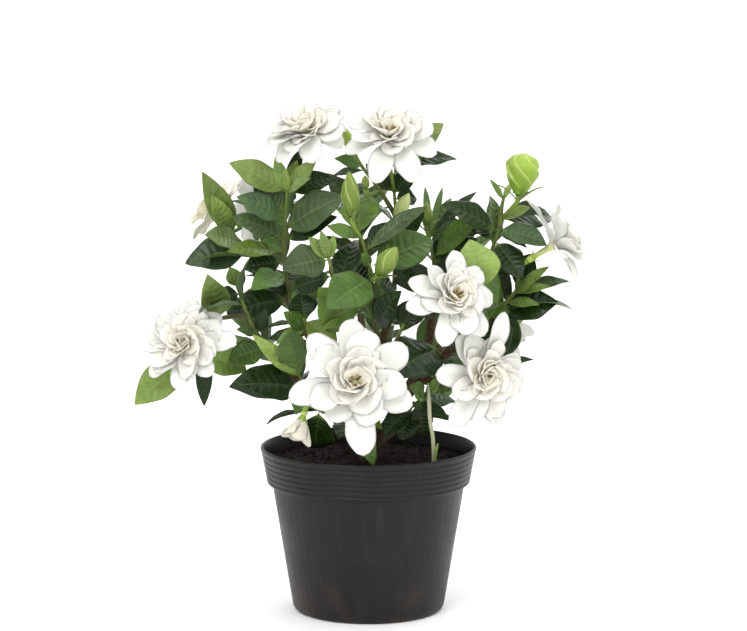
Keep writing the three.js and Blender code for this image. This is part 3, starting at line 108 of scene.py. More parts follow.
# A stem is its name, how many points of its route belong to the trunk, its whorls, its route as
# (x, y, depth), its side shoots and its leaves. Whorls are (first, last, number, leaves in each)
# for leaves that follow a rule. A leaf is (kind, tip x, tip y, tip depth, base x, base y, width,
# turn in degrees): it is rooted where its stem passes closest to the base, and turn 0 faces up
# and 90 faces the front.
STEM_TABLE = [
    ("left_low", 5, (0.8, 0.8, 1, 2),
     [(368, 452, 0), (345, 425, -8), (310, 395, -18), (290, 377, -24), (272, 354, -30), (257, 333, -34),
      (247, 321, -34), (240, 300, -30), (236, 283, -28)],
     [[(247, 321, -34), (224, 317, -22), (212, 322, -14)]],
     [("lime", 208, 276, -38, 224, 322, 27, 70), ("dark", 216, 298, -34, 240, 296, 17, 60),
      ("dark", 267, 308, -42, 257, 333, 12, 70), ("grey", 237, 329, -44, 256, 333, 10, 60),
      ("mid", 228, 362, -40, 268, 350, 26, 55), ("olive", 230, 267, -30, 237, 286, 14, 60),
      ("lime", 134, 404, -34, 200, 354, 34, 62), ("lime", 247, 370, -24, 206, 356, 30, 60),
      ("dark", 204, 407, -16, 212, 340, 15, 60)]),
    ("left_front", 2, (0.9, 0.9, 1, 1),
     [(310, 395, -18), (306, 390, -26), (303, 384, -34), (300, 377, -38)], [],
     [("lime", 253, 335, -56, 301, 378, 15, 75), ("dark", 231, 385, -50, 303, 389, 38, 55),
      ("mid", 296, 414, -56, 303, 384, 15, 80)]),
    ("upper_left", 4, (0.3, 0.7, 2, 1),
     [(368, 452, 0), (352, 405, 4), (325, 362, 6), (304, 330, 4), (290, 303, 0), (284, 275, -6),
      (283, 250, -10), (285, 225, -14), (286, 204, -18), (287, 190, -20)], [],
     [("lime", 230, 162, -30, 285, 191, 26, 60), ("grey", 343, 196, -48, 284, 226, 36, 60),
      ("dark", 334, 177, -10, 288, 192, 24, 50), ("grey", 238, 196, -40, 284, 224, 24, 60),
      ("grey", 254, 187, -22, 285, 212, 30, 60), ("grey", 233, 216, -26, 283, 236, 26, 50),
      ("olive", 228, 250, -30, 283, 248, 20, 45), ("mid", 264, 240, -34, 283, 252, 12, 60),
      ("dark", 243, 268, -18, 284, 262, 24, 60), ("mid", 252, 288, -36, 284, 270, 24, 60),
      ("dark", 227, 313, -16, 288, 298, 30, 55), ("lime", 275, 157, -28, 286, 194, 12, 75),
      ("lime", 285, 168, -36, 287, 190, 8, 75), ("pale", 309, 178, -44, 287, 192, 10, 60),
      ("lime", 316, 160, -30, 287, 190, 16, 60), ("lime", 297, 160, -12, 287, 190, 12, 70),
      ("dark", 336, 216, -30, 284, 246, 22, 60), ("dark", 301, 148, 2, 288, 192, 12, 70),
      ("dark", 300, 262, 24, 284, 282, 20, 50), ("dark", 262, 280, 6, 287, 296, 18, 60)]),
    ("left_back", 3, (0.5, 0.5, 1, 2),
     [(325, 362, 6), (300, 318, 28), (278, 285, 36), (258, 258, 34), (240, 243, 34), (228, 230, 36)], [],
     [("grey", 185, 262, 24, 243, 253, 34, 55), ("lime", 203, 173, 22, 238, 236, 24, 75),
      ("lime", 212, 196, 12, 232, 234, 18, 70), ("pale", 206, 234, 6, 240, 243, 24, 60)]),
    ("centre", 4, (0.2, 0.2, 1, 2),
     [(368, 452, 0), (372, 410, -10), (376, 370, -18), (376, 335, -24), (374, 300, -36), (372, 275, -46),
      (366, 252, -50), (361, 236, -52)], [],
     [("mid", 434, 239, -32, 373, 268, 40, 55), ("mid", 328, 307, -96, 373, 276, 40, 65),
      ("mid", 362, 253, -66, 370, 268, 9, 70), ("grey", 427, 205, -58, 366, 248, 16, 50),
      ("mid", 359, 185, -36, 361, 236, 36, 75), ("mid", 327, 225, -58, 361, 238, 12, 60),
      ("dark", 399, 292, -72, 376, 331, 26, 65), ("dark", 394, 222, -30, 363, 250, 20, 60),
      ("dark", 398, 298, -44, 374, 284, 18, 60), ("dark", 346, 262, -6, 373, 290, 22, 55)]),
    ("centre_left", 2, (0.5, 0.5, 1, 1),
     [(376, 370, -18), (352, 330, -42), (338, 295, -54), (331, 270, -60), (328, 256, -62)], [],
     [("lime", 309, 237, -68, 328, 258, 12, 70), ("lime", 321, 231, -66, 328, 257, 10, 75),
      ("lime", 334, 235, -62, 329, 258, 8, 75), ("grey", 283, 268, -84, 329, 260, 33, 60),
      ("mid", 320, 289, -78, 351, 328, 42, 70), ("lime", 323, 328, -76, 348, 322, 9, 70),
      ("dark", 292, 290, -38, 334, 276, 24, 60)]),
    ("mid_left", 2, (0.9, 0.9, 1, 1),
     [(325, 362, 6), (316, 350, -14), (309, 340, -28), (306, 330, -36), (304, 318, -40)], [],
     [("mid", 284, 312, -46, 304, 328, 15, 70), ("dark", 269, 338, -34, 307, 334, 14, 50),
      ("lime", 276, 343, -46, 306, 332, 12, 50), ("dark", 288, 352, -32, 309, 341, 13, 40),
      ("dark", 300, 292, -36, 304, 320, 26, 60), ("olive", 337, 345, -62, 305, 312, 24, 60)]),
    ("top", 3, (0.3, 0.65, 2, 1),
     [(376, 370, -18), (388, 330, 4), (394, 290, 10), (396, 250, 10), (397, 215, 8), (394, 190, 6)],
     [[(397, 215, 8), (380, 190, 2), (366, 172, -2)]],
     [("dark", 366, 163, 10, 394, 192, 20, 50), ("dark", 412, 172, 2, 394, 192, 20, 50),
      ("dark", 426, 198, 2, 396, 202, 20, 50), ("lime", 444, 122, 18, 394, 170, 24, 65),
      ("dark", 458, 157, 24, 393, 168, 18, 45), ("mid", 427, 141, 14, 393, 172, 20, 60),
      ("grey", 331, 176, 8, 366, 172, 9, 40), ("mid", 335, 158, -6, 362, 166, 12, 60),
      ("dark", 424, 212, 2, 397, 236, 22, 55), ("dark", 416, 292, -8, 395, 258, 22, 60),
      ("dark", 436, 278, 4, 396, 262, 14, 50), ("dark", 374, 226, 26, 397, 250, 20, 55)]),
    ("upper_right", 4, (0.3, 0.65, 2, 1),
     [(368, 452, 0), (392, 415, 6), (425, 370, 10), (455, 325, 12), (478, 285, 8), (493, 250, 2),
      (499, 228, 0), (502, 216, 0)],
     [[(499, 228, 0), (501, 210, 8), (504, 196, 12)]],
     [("dark", 443, 203, -16, 497, 232, 25, 50), ("lime", 542, 201, -20, 502, 221, 10, 60),
      ("dark", 554, 216, 2, 501, 222, 28, 55), ("grey", 546, 244, -30, 500, 230, 24, 55),
      ("grey", 527, 247, -18, 498, 236, 9, 45), ("dark", 522, 279, -26, 496, 241, 26, 55),
      ("lime", 490, 179, 6, 503, 200, 5, 60), ("lime", 512, 182, 14, 503, 200, 5, 60),
      ("mid", 487, 322, -28, 491, 262, 22, 70), ("dark", 510, 302, 4, 490, 262, 18, 65),
      ("dark", 470, 218, 22, 498, 240, 18, 50)]),
    ("right", 3, (0.5, 0.5, 1, 1),
     [(425, 370, 10), (462, 345, 4), (492, 318, -6), (511, 298, -14), (518, 288, -16)], [],
     [("dark", 531, 253, -4, 516, 290, 22, 60), ("olive", 532, 256, -30, 514, 294, 9, 70),
      ("olive", 549, 266, -12, 516, 291, 9, 60), ("olive", 535, 279, -34, 513, 296, 12, 60),
      ("olive", 551, 286, -22, 513, 296, 9, 50), ("grey", 570, 280, -4, 516, 291, 12, 45),
      ("dark", 558, 301, -12, 504, 317, 31, 60), ("mid", 539, 304, -30, 506, 303, 10, 55),
      ("mid", 485, 316, -30, 508, 305, 20, 60), ("mid", 497, 282, -34, 498, 311, 11, 70),
      ("dark", 503, 362, -6, 506, 304, 30, 65)]),
    ("mid_right", 3, (0.75, 0.75, 1, 1),
     [(392, 415, 6), (420, 385, -16), (440, 350, -32), (450, 328, -40), (458, 312, -44)],
     [[(450, 328, -40), (472, 306, -46), (483, 291, -48)]],
     [("lime", 470, 240, -62, 484, 291, 42, 75), ("dark", 387, 377, -66, 443, 346, 48, 55),
      ("dark", 446, 350, -20, 470, 306, 22, 60)]),
    ("low_right", 2, (0.75, 0.75, 1, 1),
     [(420, 385, -16), (442, 384, -26), (462, 378, -32), (474, 370, -36)], [],
     [("dark", 513, 325, -30, 474, 370, 26, 65), ("dark", 534, 358, -28, 474, 370, 11, 50)]),
    ("front", 2, (0.5, 0.9, 1, 2),
     [(368, 452, 0), (362, 432, -20), (355, 418, -42), (352, 405, -62)],
     [[(355, 418, -42), (336, 414, -52), (322, 412, -58)]],
     [("dark", 314, 450, -66, 325, 404, 34, 70), ("mid", 374, 466, -72, 354, 412, 18, 70),
      ("mid", 382, 428, -84, 353, 408, 14, 60)]),
    ("centre_right", 2, (0.75, 0.75, 1, 1),
     [(376, 370, -18), (388, 354, -38), (398, 340, -50), (404, 324, -56)], [],
     [("dark", 417, 299, -60, 402, 330, 24, 60)]),
    ("low_front", 2, (0.6, 0.9, 1, 2),
     [(392, 415, 6), (404, 410, -22), (416, 404, -38), (427, 397, -44)], [],
     [("mid", 410, 386, -64, 427, 397, 19, 60), ("lime", 441, 375, -60, 428, 397, 9, 70),
      ("dark", 449, 418, -54, 420, 401, 10, 50), ("dark", 402, 441, -44, 412, 406, 25, 60),
      ("dark", 384, 436, -56, 408, 408, 20, 60), ("dark", 424, 436, -34, 418, 402, 20, 60)]),
    ("high_right", 3, (0.5, 0.5, 1, 1),
     [(425, 370, 10), (432, 320, 30), (436, 280, 34), (433, 252, 30), (429, 236, 26)], [],
     [("grey", 459, 219, 22, 431, 244, 9, 50), ("dark", 477, 190, 20, 430, 238, 10, 50),
      ("mid", 481, 214, 10, 434, 256, 22, 55), ("dark", 476, 238, 20, 435, 266, 26, 50),
      ("mid", 425, 184, 34, 430, 240, 6, 70), ("mid", 443, 185, 44, 430, 238, 6, 70),
      ("mid", 452, 196, 34, 430, 240, 9, 60), ("dark", 458, 282, 22, 434, 256, 22, 60)]),
    ("back_left_high", 2, (0.25, 1, 5, 3),
     [(325, 362, 6), (305, 325, 50), (290, 285, 80), (280, 250, 95), (276, 225, 100)], [], []),
    ("back_left_low", 2, (0.3, 1, 5, 3),
     [(368, 452, 0), (335, 420, 36), (300, 385, 66), (272, 355, 88), (255, 335, 98)], [], []),
    ("back_high", 4, (0.18, 1, 4, 3),
     [(368, 452, 0), (366, 400, 30), (362, 345, 62), (360, 290, 84), (360, 240, 94), (361, 215, 98)], [], []),
    ("back_low", 2, (0.2, 1, 3, 3),
     [(366, 400, 30), (370, 380, 72), (374, 355, 104), (376, 335, 120)], [], []),
    ("back_right_high", 2, (0.25, 1, 5, 3),
     [(392, 415, 6), (420, 365, 44), (445, 310, 74), (458, 265, 88), (463, 240, 92)], [], []),
    ("back_right_low", 2, (0.3, 1, 5, 3),
     [(368, 452, 0), (400, 425, 38), (435, 392, 66), (465, 362, 88), (482, 342, 98)], [], []),
]

# A bloom is its name, its stem, where its stalk leaves the stem, its throat's place, the way it
# faces, the length of the tube behind the throat and of the outer petals in mm, their curl in
# degrees and each of them as (clock angle in degrees, length share).
BLOOM_TABLE = [
    ("top_left", "upper_left", (286, 200), (307, 134, -10), (-0.15, -0.42, 0.9), 18, 39, -40,
     ((0, 0.9), (55, 0.85), (108, 0.9), (155, 1), (200, 1), (250, 1), (305, 0.95))),
    ("top_right", "top", (394, 190), (390, 138, -20), (0.04, -0.66, 0.75), 18, 42, -26,
     ((3, 0.92), (60, 0.9), (115, 0.95), (160, 1.2), (196, 1.2), (248, 0.94), (300, 0.84))),
    ("left_back", "left_back", (228, 230), (222, 211, 48), (-0.75, 0.15, 0.6), 16, 33, -10,
     ((0, 1), (52, 1), (104, 1), (156, 1), (208, 1), (260, 1), (310, 1))),
    ("left", "left_low", (212, 322), (187, 345, -44), (-0.28, -0.85, 0.42), 18, 38, -8,
     ((0, 1), (47, 0.95), (84, 1.15), (133, 0.95), (180, 1), (222, 1), (268, 1), (317, 1))),
    ("front", "front", (352, 405), (355, 383, -108), (0.05, -0.93, 0.36), 24, 49, -6,
     ((358, 1.02), (57, 1), (115, 0.98), (175, 1.22), (212, 0.74), (256, 1.1), (316, 1.05))),
    ("mid_right", "mid_right", (458, 312), (452, 298, -80), (0.4, -0.82, 0.4), 20, 40, -6,
     ((14, 0.95), (54, 0.86), (96, 0.84), (150, 0.96), (206, 1.1), (260, 1.12), (290, 1))),
    ("low_right", "low_right", (474, 370), (482, 376, -66), (0.42, -0.9, 0.02), 16, 40, -4,
     ((18, 1.35), (68, 0.85), (116, 0.85), (165, 1), (220, 1.22), (276, 1.1), (324, 1.05))),
    ("right", "right", (518, 288), (552, 246, -20), (0.82, -0.02, 0.5), 24, 39, -14,
     ((0, 1.05), (50, 0.95), (105, 0.95), (175, 1.05), (215, 1), (262, 0.9), (318, 1))),
    ("spent", "front", (322, 412), (302, 420, -68), (-0.3, -0.25, -0.92), 8, 21, 52,
     ((0, 0.9), (60, 1), (120, 1.1), (180, 1.1), (240, 1), (300, 1))),
    ("back_left", "back_left_high", (276, 225), (270, 208, 126), (-0.35, 0.82, 0.45), 16, 37, -8,
     ((0, 1), (52, 1.05), (104, 1), (156, 1.05), (208, 1), (260, 1.05), (310, 1))),
    ("back_right", "back_right_low", (482, 342), (490, 328, 124), (0.4, 0.85, 0.3), 18, 37, -8,
     ((5, 1), (57, 1.1), (109, 1), (161, 1.05), (213, 1), (265, 1.05), (315, 1))),
]

# A bud is its name, its stem, where its stalk leaves the stem, its base and tip as (x, y, depth)
# and its fullest radius in mm
BUD_TABLE = [
    ("top_left", "top", (366, 172), (354, 153, 6), (341, 124, 10), 5),
    ("centre_tall", "centre", (361, 236), (352, 217, -56), (349, 171, -60), 7.8),
    ("top_pale", "top", (396, 222), (396, 219, -6), (409, 193, -12), 6),
    ("centre_round", "centre", (372, 276), (378, 275, -60), (397, 247, -68), 8.6),
    ("right_opening", "upper_right", (502, 216), (519, 195, -6), (525, 153, -10), 14.4),
    ("high_right", "high_right", (429, 236), (427, 226, 24), (426, 202, 22), 5.6),
    ("small", "top", (380, 190), (366, 190, -8), (365, 175, -12), 3.6),
    ("back_right", "back_right_high", (463, 240), (464, 230, 96), (467, 204, 100), 6),
    ("back_left", "back_left_low", (255, 335), (247, 326, 104), (238, 306, 110), 5.5),
]

DRY_GRASS = ((434, 461, -48), (433, 440, -50), (430, 420, -52), (429, 400, -52), (428, 382, -50))
GREEN_BLADE = ((434, 461, -48), (436, 452, -52), (438, 443, -56))
DRY_GRASS_WIDTH = 3.2


def named_rows(prefix, fields, table):
    """A table's rows as dicts, with whole names for the pieces and the stems that carry them."""
    rows = [dict(zip(fields.split(), row)) for row in table]
    for row in rows:
        row["name"] = prefix + row["name"]
        if "stem" in row:
            row["stem"] = "leafy_stem_" + row["stem"]
    return rows


BRANCHES = named_rows("leafy_stem_", "name woody whorls route sides leaves", STEM_TABLE)
BLOOMS = named_rows("bloom_", "name stem root throat facing tube size reflex petals", BLOOM_TABLE)
BUDS = named_rows("bud_", "name stem root base tip radius", BUD_TABLE)

UP = np.array((0.0, 0.0, 1.0))
TO_VIEWER = np.array((0.0, -1.0, 0.0))
AWAY = -TO_VIEWER
VIEW_RIGHT = np.array((1.0, 0.0, 0.0))
VIEW_FORWARD = np.array((0.0, math.cos(VIEW_PITCH), -math.sin(VIEW_PITCH)))
VIEW_UPWARD = np.array((0.0, math.sin(VIEW_PITCH), math.cos(VIEW_PITCH)))


def srgb(red, green, blue):
    """A colour as the screen shows it, from 0 to 255, as linear light."""
    shown = np.array((red, green, blue)) / 255
    return np.where(shown <= 0.04045, shown / 12.92, ((shown + 0.055) / 1.055) ** 2.4)


def size_of(vector):
    return math.sqrt(float(vector @ vector))


def unit(vector):
    return vector / size_of(vector)


def swung(first, second, angle):
    """The direction at an angle from the first of two directions towards the second."""
    return first * math.cos(angle) + second * math.sin(angle)


def graded(ends, share):
    """What lies at a share of the way, or at each of several, from one colour to another."""
    return ends[0] + (ends[1] - ends[0]) * np.asarray(share)[..., None]


def across_from(vector, axis):
    """The direction of a vector's part that is square to an axis."""
    return unit(vector - axis * float(vector @ axis))


def grid_places(along, across):
    """All pairs of an entry along and an entry across, as two flat arrays."""
    return (grid.ravel() for grid in np.meshgrid(along, across, indexing="ij"))


def seen(place):
    """The point in mm that stands at a picture place, at a depth behind the pot's axis."""
    x, y, depth = place
    ray = VIEW_FORWARD * VIEW_FOCAL + VIEW_RIGHT * (x - VIEW_CENTRE[0])
    ray = ray + VIEW_UPWARD * (VIEW_CENTRE[1] - y)
    return VIEW_EYE + ray * ((depth - VIEW_EYE[1]) / ray[1])


def pictured(points):
    """The picture places of points in mm, as an array of rows."""
    ray = np.asarray(points) - VIEW_EYE
    scale = VIEW_FOCAL / (ray @ VIEW_FORWARD)
    across = VIEW_CENTRE[0] + (ray @ VIEW_RIGHT) * scale
    return np.stack((across, VIEW_CENTRE[1] - (ray @ VIEW_UPWARD) * scale), axis=-1)


class Chance:
    """Random numbers from 0 to 1 that are the same in every run."""

    def __init__(self, seed):
        self.seed = seed

    def __call__(self):
        self.seed = (self.seed * 16807) % 2147483647
        return self.seed / 2147483647


chance = Chance(20011)


def route_point(points, share):
    """A point of the smooth curve through a route, walked from point to point."""
    last = len(points) - 1
    place = last * share
    start = min(int(place), last - 1)
    t = place - start
    before = points[start - 1] if start > 0 else 2 * points[0] - points[1]
    after = points[start + 2] if start + 2 <= last else 2 * points[last] - points[last - 1]
    a, b = points[start], points[start + 1]
    slope_a, slope_b = 0.5 * (b - before), 0.5 * (after - a)
    second = -3 * a + 3 * b - 2 * slope_a - slope_b
    third = 2 * a - 2 * b + slope_a + slope_b
    return a + slope_a * t + second * t * t + third * t * t * t


def route_samples(points, step=SHOOT_STEP):
    """Points along a route's stem, several on each of its straight lengths."""
    length = sum(math.dist(a, b) for a, b in zip(points, points[1:]))
    steps = max(2, math.floor(length / step + 0.5))
    rings = [route_point(points, i / steps) for i in range(steps + 1)]
    samples = rings[:1]
    for before, after in zip(rings, rings[1:]):
        for part in range(1, SAMPLES_PER_STEP + 1):
            samples.append(before + (after - before) * (part / SAMPLES_PER_STEP))
    return samples


def root_samples(samples):
    before, end = samples[-2:]
    return [*samples[:-1], before + (end - before) * 0.6]


def nearest(samples, places, place):
    """The sample whose place is closest to the one that is asked for."""
    return samples[int(np.argmin(np.sum((np.asarray(places) - place) ** 2, axis=1)))]


# Leaves

# How high a leaf of each kind arches, how far its halves fold up and how strongly it waves, its
# tint, and how strongly its side veins and its mesh of small veins show, that mesh darkened as
# painted shade in the creases between quilted cells
LEAF_KINDS = {
    # dark: partly the deep green of old leaves, partly painted shade, its tint taken from leaves deep in
    # shade
    "dark": (0.056, 0.18, 0.05, srgb(24, 45, 11), 0.16, 0.2),
    "mid": (0.049, 0.18, 0.05, srgb(80, 110, 45), 0.24, 0.5),
    # grey: partly a grey-green, partly painted sheen, the pale haze that light lays on glossy leaves
    "grey": (0.063, 0.16, 0.06, srgb(70, 91, 56), 0.22, 0.2),
    "olive": (0.042, 0.2, 0.04, srgb(104, 128, 54), 0.3, 0.6),
    "lime": (0.056, 0.24, 0.04, srgb(128, 153, 78), 0.3, 1),
    "pale": (0.042, 0.2, 0.05, srgb(146, 164, 104), 0.5, 0.8),
}


def leaf_between(base, tip, facing, width, kind, phase):
    length = size_of(tip - base)
    along = (tip - base) / length
    normal = across_from(facing, along)
    return {"base": base, "along": along, "normal": normal, "side": np.cross(normal, along),
            "length": length, "width": width, "kind": kind, "phase": phase}


def leaf_half(leaf, u):
    """Shares along a leaf's blade, and the half widths of the blade and of the stalk, at u."""
    v = np.clip((u - LEAF_STALK) / (1 - LEAF_STALK), 0, 1)
    outline = np.abs(np.sin(np.pi * v ** 0.92)) ** 0.85
    blade = leaf["width"] / 2 * np.where((v > 0) & (v < 1), outline, 0)
    return v, blade, LEAF_STALK_HALF * np.minimum(u / LEAF_STALK, 1) * (1 - v)


def leaf_points(leaf, u, s, above=0):
    """Points of a leaf at u along, s across, and so far above its middle surface."""
    arch, fold, wave = LEAF_KINDS[leaf["kind"]][:3]
    v, blade, stalk = leaf_half(leaf, u)
    ripple = wave * leaf["width"] * np.sin(9 * v + leaf["phase"] + 2 * s) * s * s * np.sin(np.pi * v)
    rise = arch * leaf["length"] * np.sin(np.pi * u) + fold * np.abs(s) * blade + ripple + above
    return (leaf["base"] + leaf["along"] * (u * leaf["length"])[..., None]
            + leaf["side"] * (s * (blade + stalk))[..., None] + leaf["normal"] * rise[..., None])


# Clearances: every stem, petal and leaf leaves points behind, and a new leaf keeps off them

TEST_U, TEST_S = grid_places((0.22, 0.36, 0.5, 0.64, 0.78, 0.9, 1), (-1, -0.5, 0, 0.5, 1))
INNER_TESTS = 10
obstacles = []


def add_obstacle(owner, points, clearance, leafy=False):
    points = np.asarray(points)
    obstacles.append((owner, points, clearance, leafy, points.min(axis=0), points.max(axis=0)))


def inside_pot(points):
    radius = np.hypot(points[:, 0], points[:, 1])
    within = radius < RIM_RADIUS + POT_CLEARANCE
    near_wall = within & (radius > BODY_TOP_RADIUS - POT_CLEARANCE)
    lowest = np.where(near_wall, POT_HEIGHT + POT_CLEARANCE, SOIL_TOP + SOIL_BUMP + POT_CLEARANCE)
    return np.any(within & (points[:, 2] < lowest))


def is_clear(owner, points):
    if inside_pot(points):
        return False
    low, high = points.min(axis=0), points.max(axis=0)
    for other, theirs, clearance, leafy, their_low, their_high in obstacles:
        sister = other == owner
        if sister and not leafy:
            continue
        reach = SISTER_CLEARANCE if sister else clearance
        if np.any(their_high + reach < low) or np.any(their_low - reach > high):
            continue
        first = INNER_TESTS if sister else 0
        gaps = np.sum((points[first:, None] - theirs[None, first:]) ** 2, axis=2)
        if gaps.min() < reach * reach:
            return False
    return True


def first_clear(owner, candidates):
    for leaf in candidates:
        points = leaf_points(leaf, TEST_U, TEST_S)
        if is_clear(owner, points):
            add_obstacle(owner, points, LEAF_CLEARANCE, True)
            return leaf
    return None


# Blooms and buds

OUTER_RING = {"width": 0.47, "lean": 22, "cup": 0.2, "root": 2.2, "height": -0.5}
MIDDLE_RING = {"count": 5, "turn": 28, "share": 0.58, "width": 0.7, "lean": 50, "curl": 14,
               "cup": 0.4, "root": 2, "height": 1}
INNER_RING = {"count": 3, "turn": 50, "share": 0.38, "width": 0.66, "lean": 74, "curl": 44,
              "cup": 0.6, "root": 1.6, "height": 2.4}


def bloom_frame(row):
    axis = unit(np.array(row["facing"], float))
    throat = seen(row["throat"])
    up = across_from(UP, axis)
    return {"axis": axis, "throat": throat, "up": up, "right": np.cross(up, axis),
            "calyx": throat - axis * row["tube"]}


def ring_petals(size, ring):
    length = size * ring["share"]
    return [{**ring, "length": length, "width": length * ring["width"],
             "clock": ring["turn"] + 360 * i / ring["count"]} for i in range(ring["count"])]


def outer_petals(row):
    return [{**OUTER_RING, "curl": row["reflex"], "clock": clock, "length": row["size"] * share,
             "width": row["size"] * OUTER_RING["width"]} for clock, share in row["petals"]]


def petal_points(place, petal, u, s, above=0, power=1):
    """Points of a petal at u along and s across, above its middle surface."""
    lean = math.radians(petal["lean"])
    bend = math.radians(petal["curl"]) - lean
    angle = lean + bend * u
    reach = petal["length"] * (np.sin(angle) - math.sin(lean)) / bend
    rise = petal["length"] * (math.cos(lean) - np.cos(angle)) / bend
    outward = swung(place["up"], place["right"], math.radians(petal["clock"]))
    side = np.cross(place["axis"], outward)
    normal = place["axis"] * np.cos(angle)[..., None] - outward * np.sin(angle)[..., None]
    half = petal["width"] / 2 * np.abs(np.sin(np.pi * u ** 1.5)) ** power * ((u > 0) & (u < 1))
    lift = half * (petal["cup"] * s * s + PETAL_LAP * s) + above
    return (place["throat"] + outward * (petal["root"] + reach)[..., None]
            + place["axis"] * (petal["height"] + rise)[..., None]
            + side * (s * half)[..., None] + normal * lift[..., None])


def bloom_obstacle(row):
    place = bloom_frame(row)
    petals = outer_petals(row) + ring_petals(row["size"], MIDDLE_RING)
    if row["size"] > FULL_BLOOM:
        petals += ring_petals(row["size"], INNER_RING)
    u, s = grid_places((0.3, 0.5, 0.7, 0.88, 1), (-1, 0, 1))
    points = [petal_points(place, petal, u, s) for petal in petals]
    ends = place["throat"] - place["calyx"]
    points.append([place["calyx"] + ends * share for share in (0, 0.25, 0.5, 0.75)])
    add_obstacle(row["name"], np.concatenate(points), PETAL_CLEARANCE)


def bud_frame(row):
    base = seen(row["base"])
    axis = seen(row["tip"]) - base
    return base, unit(axis), size_of(axis)


def bud_obstacle(row):
    base, axis, length = bud_frame(row)
    points = [base + axis * (u * length) for u in (0.1, 0.25, 0.4, 0.55, 0.7, 0.85, 1)]
    add_obstacle(row["name"], points, row["radius"] + STEM_CLEARANCE)


# The layout, in the order that the leaves' clearances depend on

LOBED_BUD_RADIUS = 5.5
LOBE_SINK = 5
LOBE_HEIGHT_SHARE = 0.24
LOBE_WIDTH = 2.6


def split_route(row, trunk_samples):
    """A stem's route as the part that belongs to the trunk and the shoot above it."""
    points = [seen(place) for place in row["route"]]
    if trunk_samples:
        points[0] = nearest(trunk_samples, trunk_samples, points[0])
    woody = row["woody"]
    joint = points[woody - 1]
    along = unit(points[woody] - points[woody - 2])
    trunk = [*points[:woody - 1], joint - along * 2, joint]
    shoot = [joint + along * STEM_GAP, joint + along * (STEM_GAP + 2), *points[woody:]]
    return trunk, shoot


def stalk_route(samples, root, end, axis):
    return [nearest(samples, pictured(samples), root), end - axis * 6, end]


def calyx_lobes(end, axis, height, spread, angles=(20, 110, 200, 290), sink=LOBE_SINK):
    """The small green leaves that hold a bud or the foot of a bloom."""
    first = across_from(TO_VIEWER if abs(axis[0]) > 0.5 else VIEW_RIGHT, axis)
    lobes = []
    for i, angle in enumerate(angles):
        out = swung(first, np.cross(axis, first), math.radians(angle))
        base = end - axis * sink + out * 0.8
        tip = base + axis * height + out * spread
        lobes.append(leaf_between(base, tip, axis * 0.5 - out, LOBE_WIDTH, "lime", i))
    return lobes


def stalks_of(stem_name, samples):
    """The routes of the stalks that carry a stem's blooms and buds, and their lobes."""
    stalks = []
    for bloom in BLOOMS:
        if bloom["stem"] == stem_name:
            place = bloom_frame(bloom)
            stalks.append((stalk_route(samples, bloom["root"], place["calyx"], place["axis"]), []))
    for bud in BUDS:
        if bud["stem"] == stem_name:
            base, axis, length = bud_frame(bud)
            height = LOBE_HEIGHT_SHARE * length + LOBE_SINK
            lobed = bud["radius"] > LOBED_BUD_RADIUS
            lobes = calyx_lobes(base, axis, height, bud["radius"] + LOBE_SINK) if lobed else []
            stalks.append((stalk_route(samples, bud["root"], base, axis), lobes))
    return stalks


def lay_out_stems():
    trunk_samples = []
    branches = []
    for row in BRANCHES:
        trunk, shoot = split_route(row, trunk_samples)
        trunk_samples.extend(route_samples(trunk, TRUNK_STEP))
        shoots = [shoot]
        main = route_samples(shoot)
        for side in row["sides"]:
            points = [seen(place) for place in side]
            shoots.append([nearest(main, main, points[0]), *points[1:]])
        samples = [point for route in shoots for point in root_samples(route_samples(route))]
        branches.append({**row, "trunk": trunk, "shoots": shoots, "main": root_samples(main),
                         "samples": samples, "stalks": stalks_of(row["name"], samples)})
    return branches


SWINGS = (0, -7, 7, -14, 14, -21, 21, -28, 28, -36, 36)
SHORTENINGS = (1, 0.86, 0.72)


def drawn_leaf(owner, samples, row):
    """A leaf of the table, swung back or shortened until nothing is in its way."""
    kind, tip_x, tip_y, depth, base_x, base_y, width, turn = row
    base = nearest(samples, pictured(samples), (base_x, base_y))
    phase = 6 * chance()
    facing = swung(UP, TO_VIEWER, math.radians(turn))
    return first_clear(owner, (
        leaf_between(base, base + (seen((tip_x, tip_y, depth + swing)) - base) * share, facing,
                     width * VIEW_UNIT * FORESHORTENING, kind, phase)
        for share in SHORTENINGS for swing in SWINGS))


# the inner whorls are mostly dark leaves, whose tint carries painted shade
RULED_KINDS = ("dark", "dark", "mid", "grey")
WHORL_TURN = 1.2
WHORL_TRIES = ((0, 0), (0.35, 0.2), (-0.35, 0.2), (0, -0.35), (0.5, -0.2), (-0.5, -0.2),
               (0.9, 0.3), (-0.9, 0.3), (0, 0.5), (1.3, 0), (-1.3, 0))


def ruled_leaf(base, stem, around, lean, length, kind, phase):
    out = across_from(swung(VIEW_RIGHT, AWAY, around), stem)
    tip = base + unit(swung(out, stem, lean)) * length
    facing = UP + unit(base * (1, 1, 0)) * 0.45
    return leaf_between(base, tip, facing, length * 0.46, kind, phase)


def ruled_leaves(owner, samples, whorls):
    """Whorls of leaves round a stem, each leaf a little different."""
    first, last, number, each = whorls
    leaves = []
    for whorl in range(number):
        share = first + (last - first) * whorl / (number - 1) if number > 1 else first
        index = math.floor(share * (len(samples) - 1) + 0.5)
        base = samples[index]
        stem = unit(samples[min(index + 1, len(samples) - 1)] - samples[max(index - 1, 0)])
        for i in range(each):
            around = WHORL_TURN * whorl + 2 * math.pi * (i + 0.3 * chance()) / each
            lean = 0.25 + 0.5 * chance() + 0.35 * share * share
            length = 40 + 18 * chance()
            young = share > 0.85 and chance() > 0.5
            kind = "mid" if young else RULED_KINDS[int(len(RULED_KINDS) * chance())]
            phase = 6 * chance()
            leaves.append(first_clear(owner, (
                ruled_leaf(base, stem, around + swing, lean + tilt, length * size, kind, phase)
                for size in (1, 0.8, 0.62) for swing, tilt in WHORL_TRIES)))
    return leaves


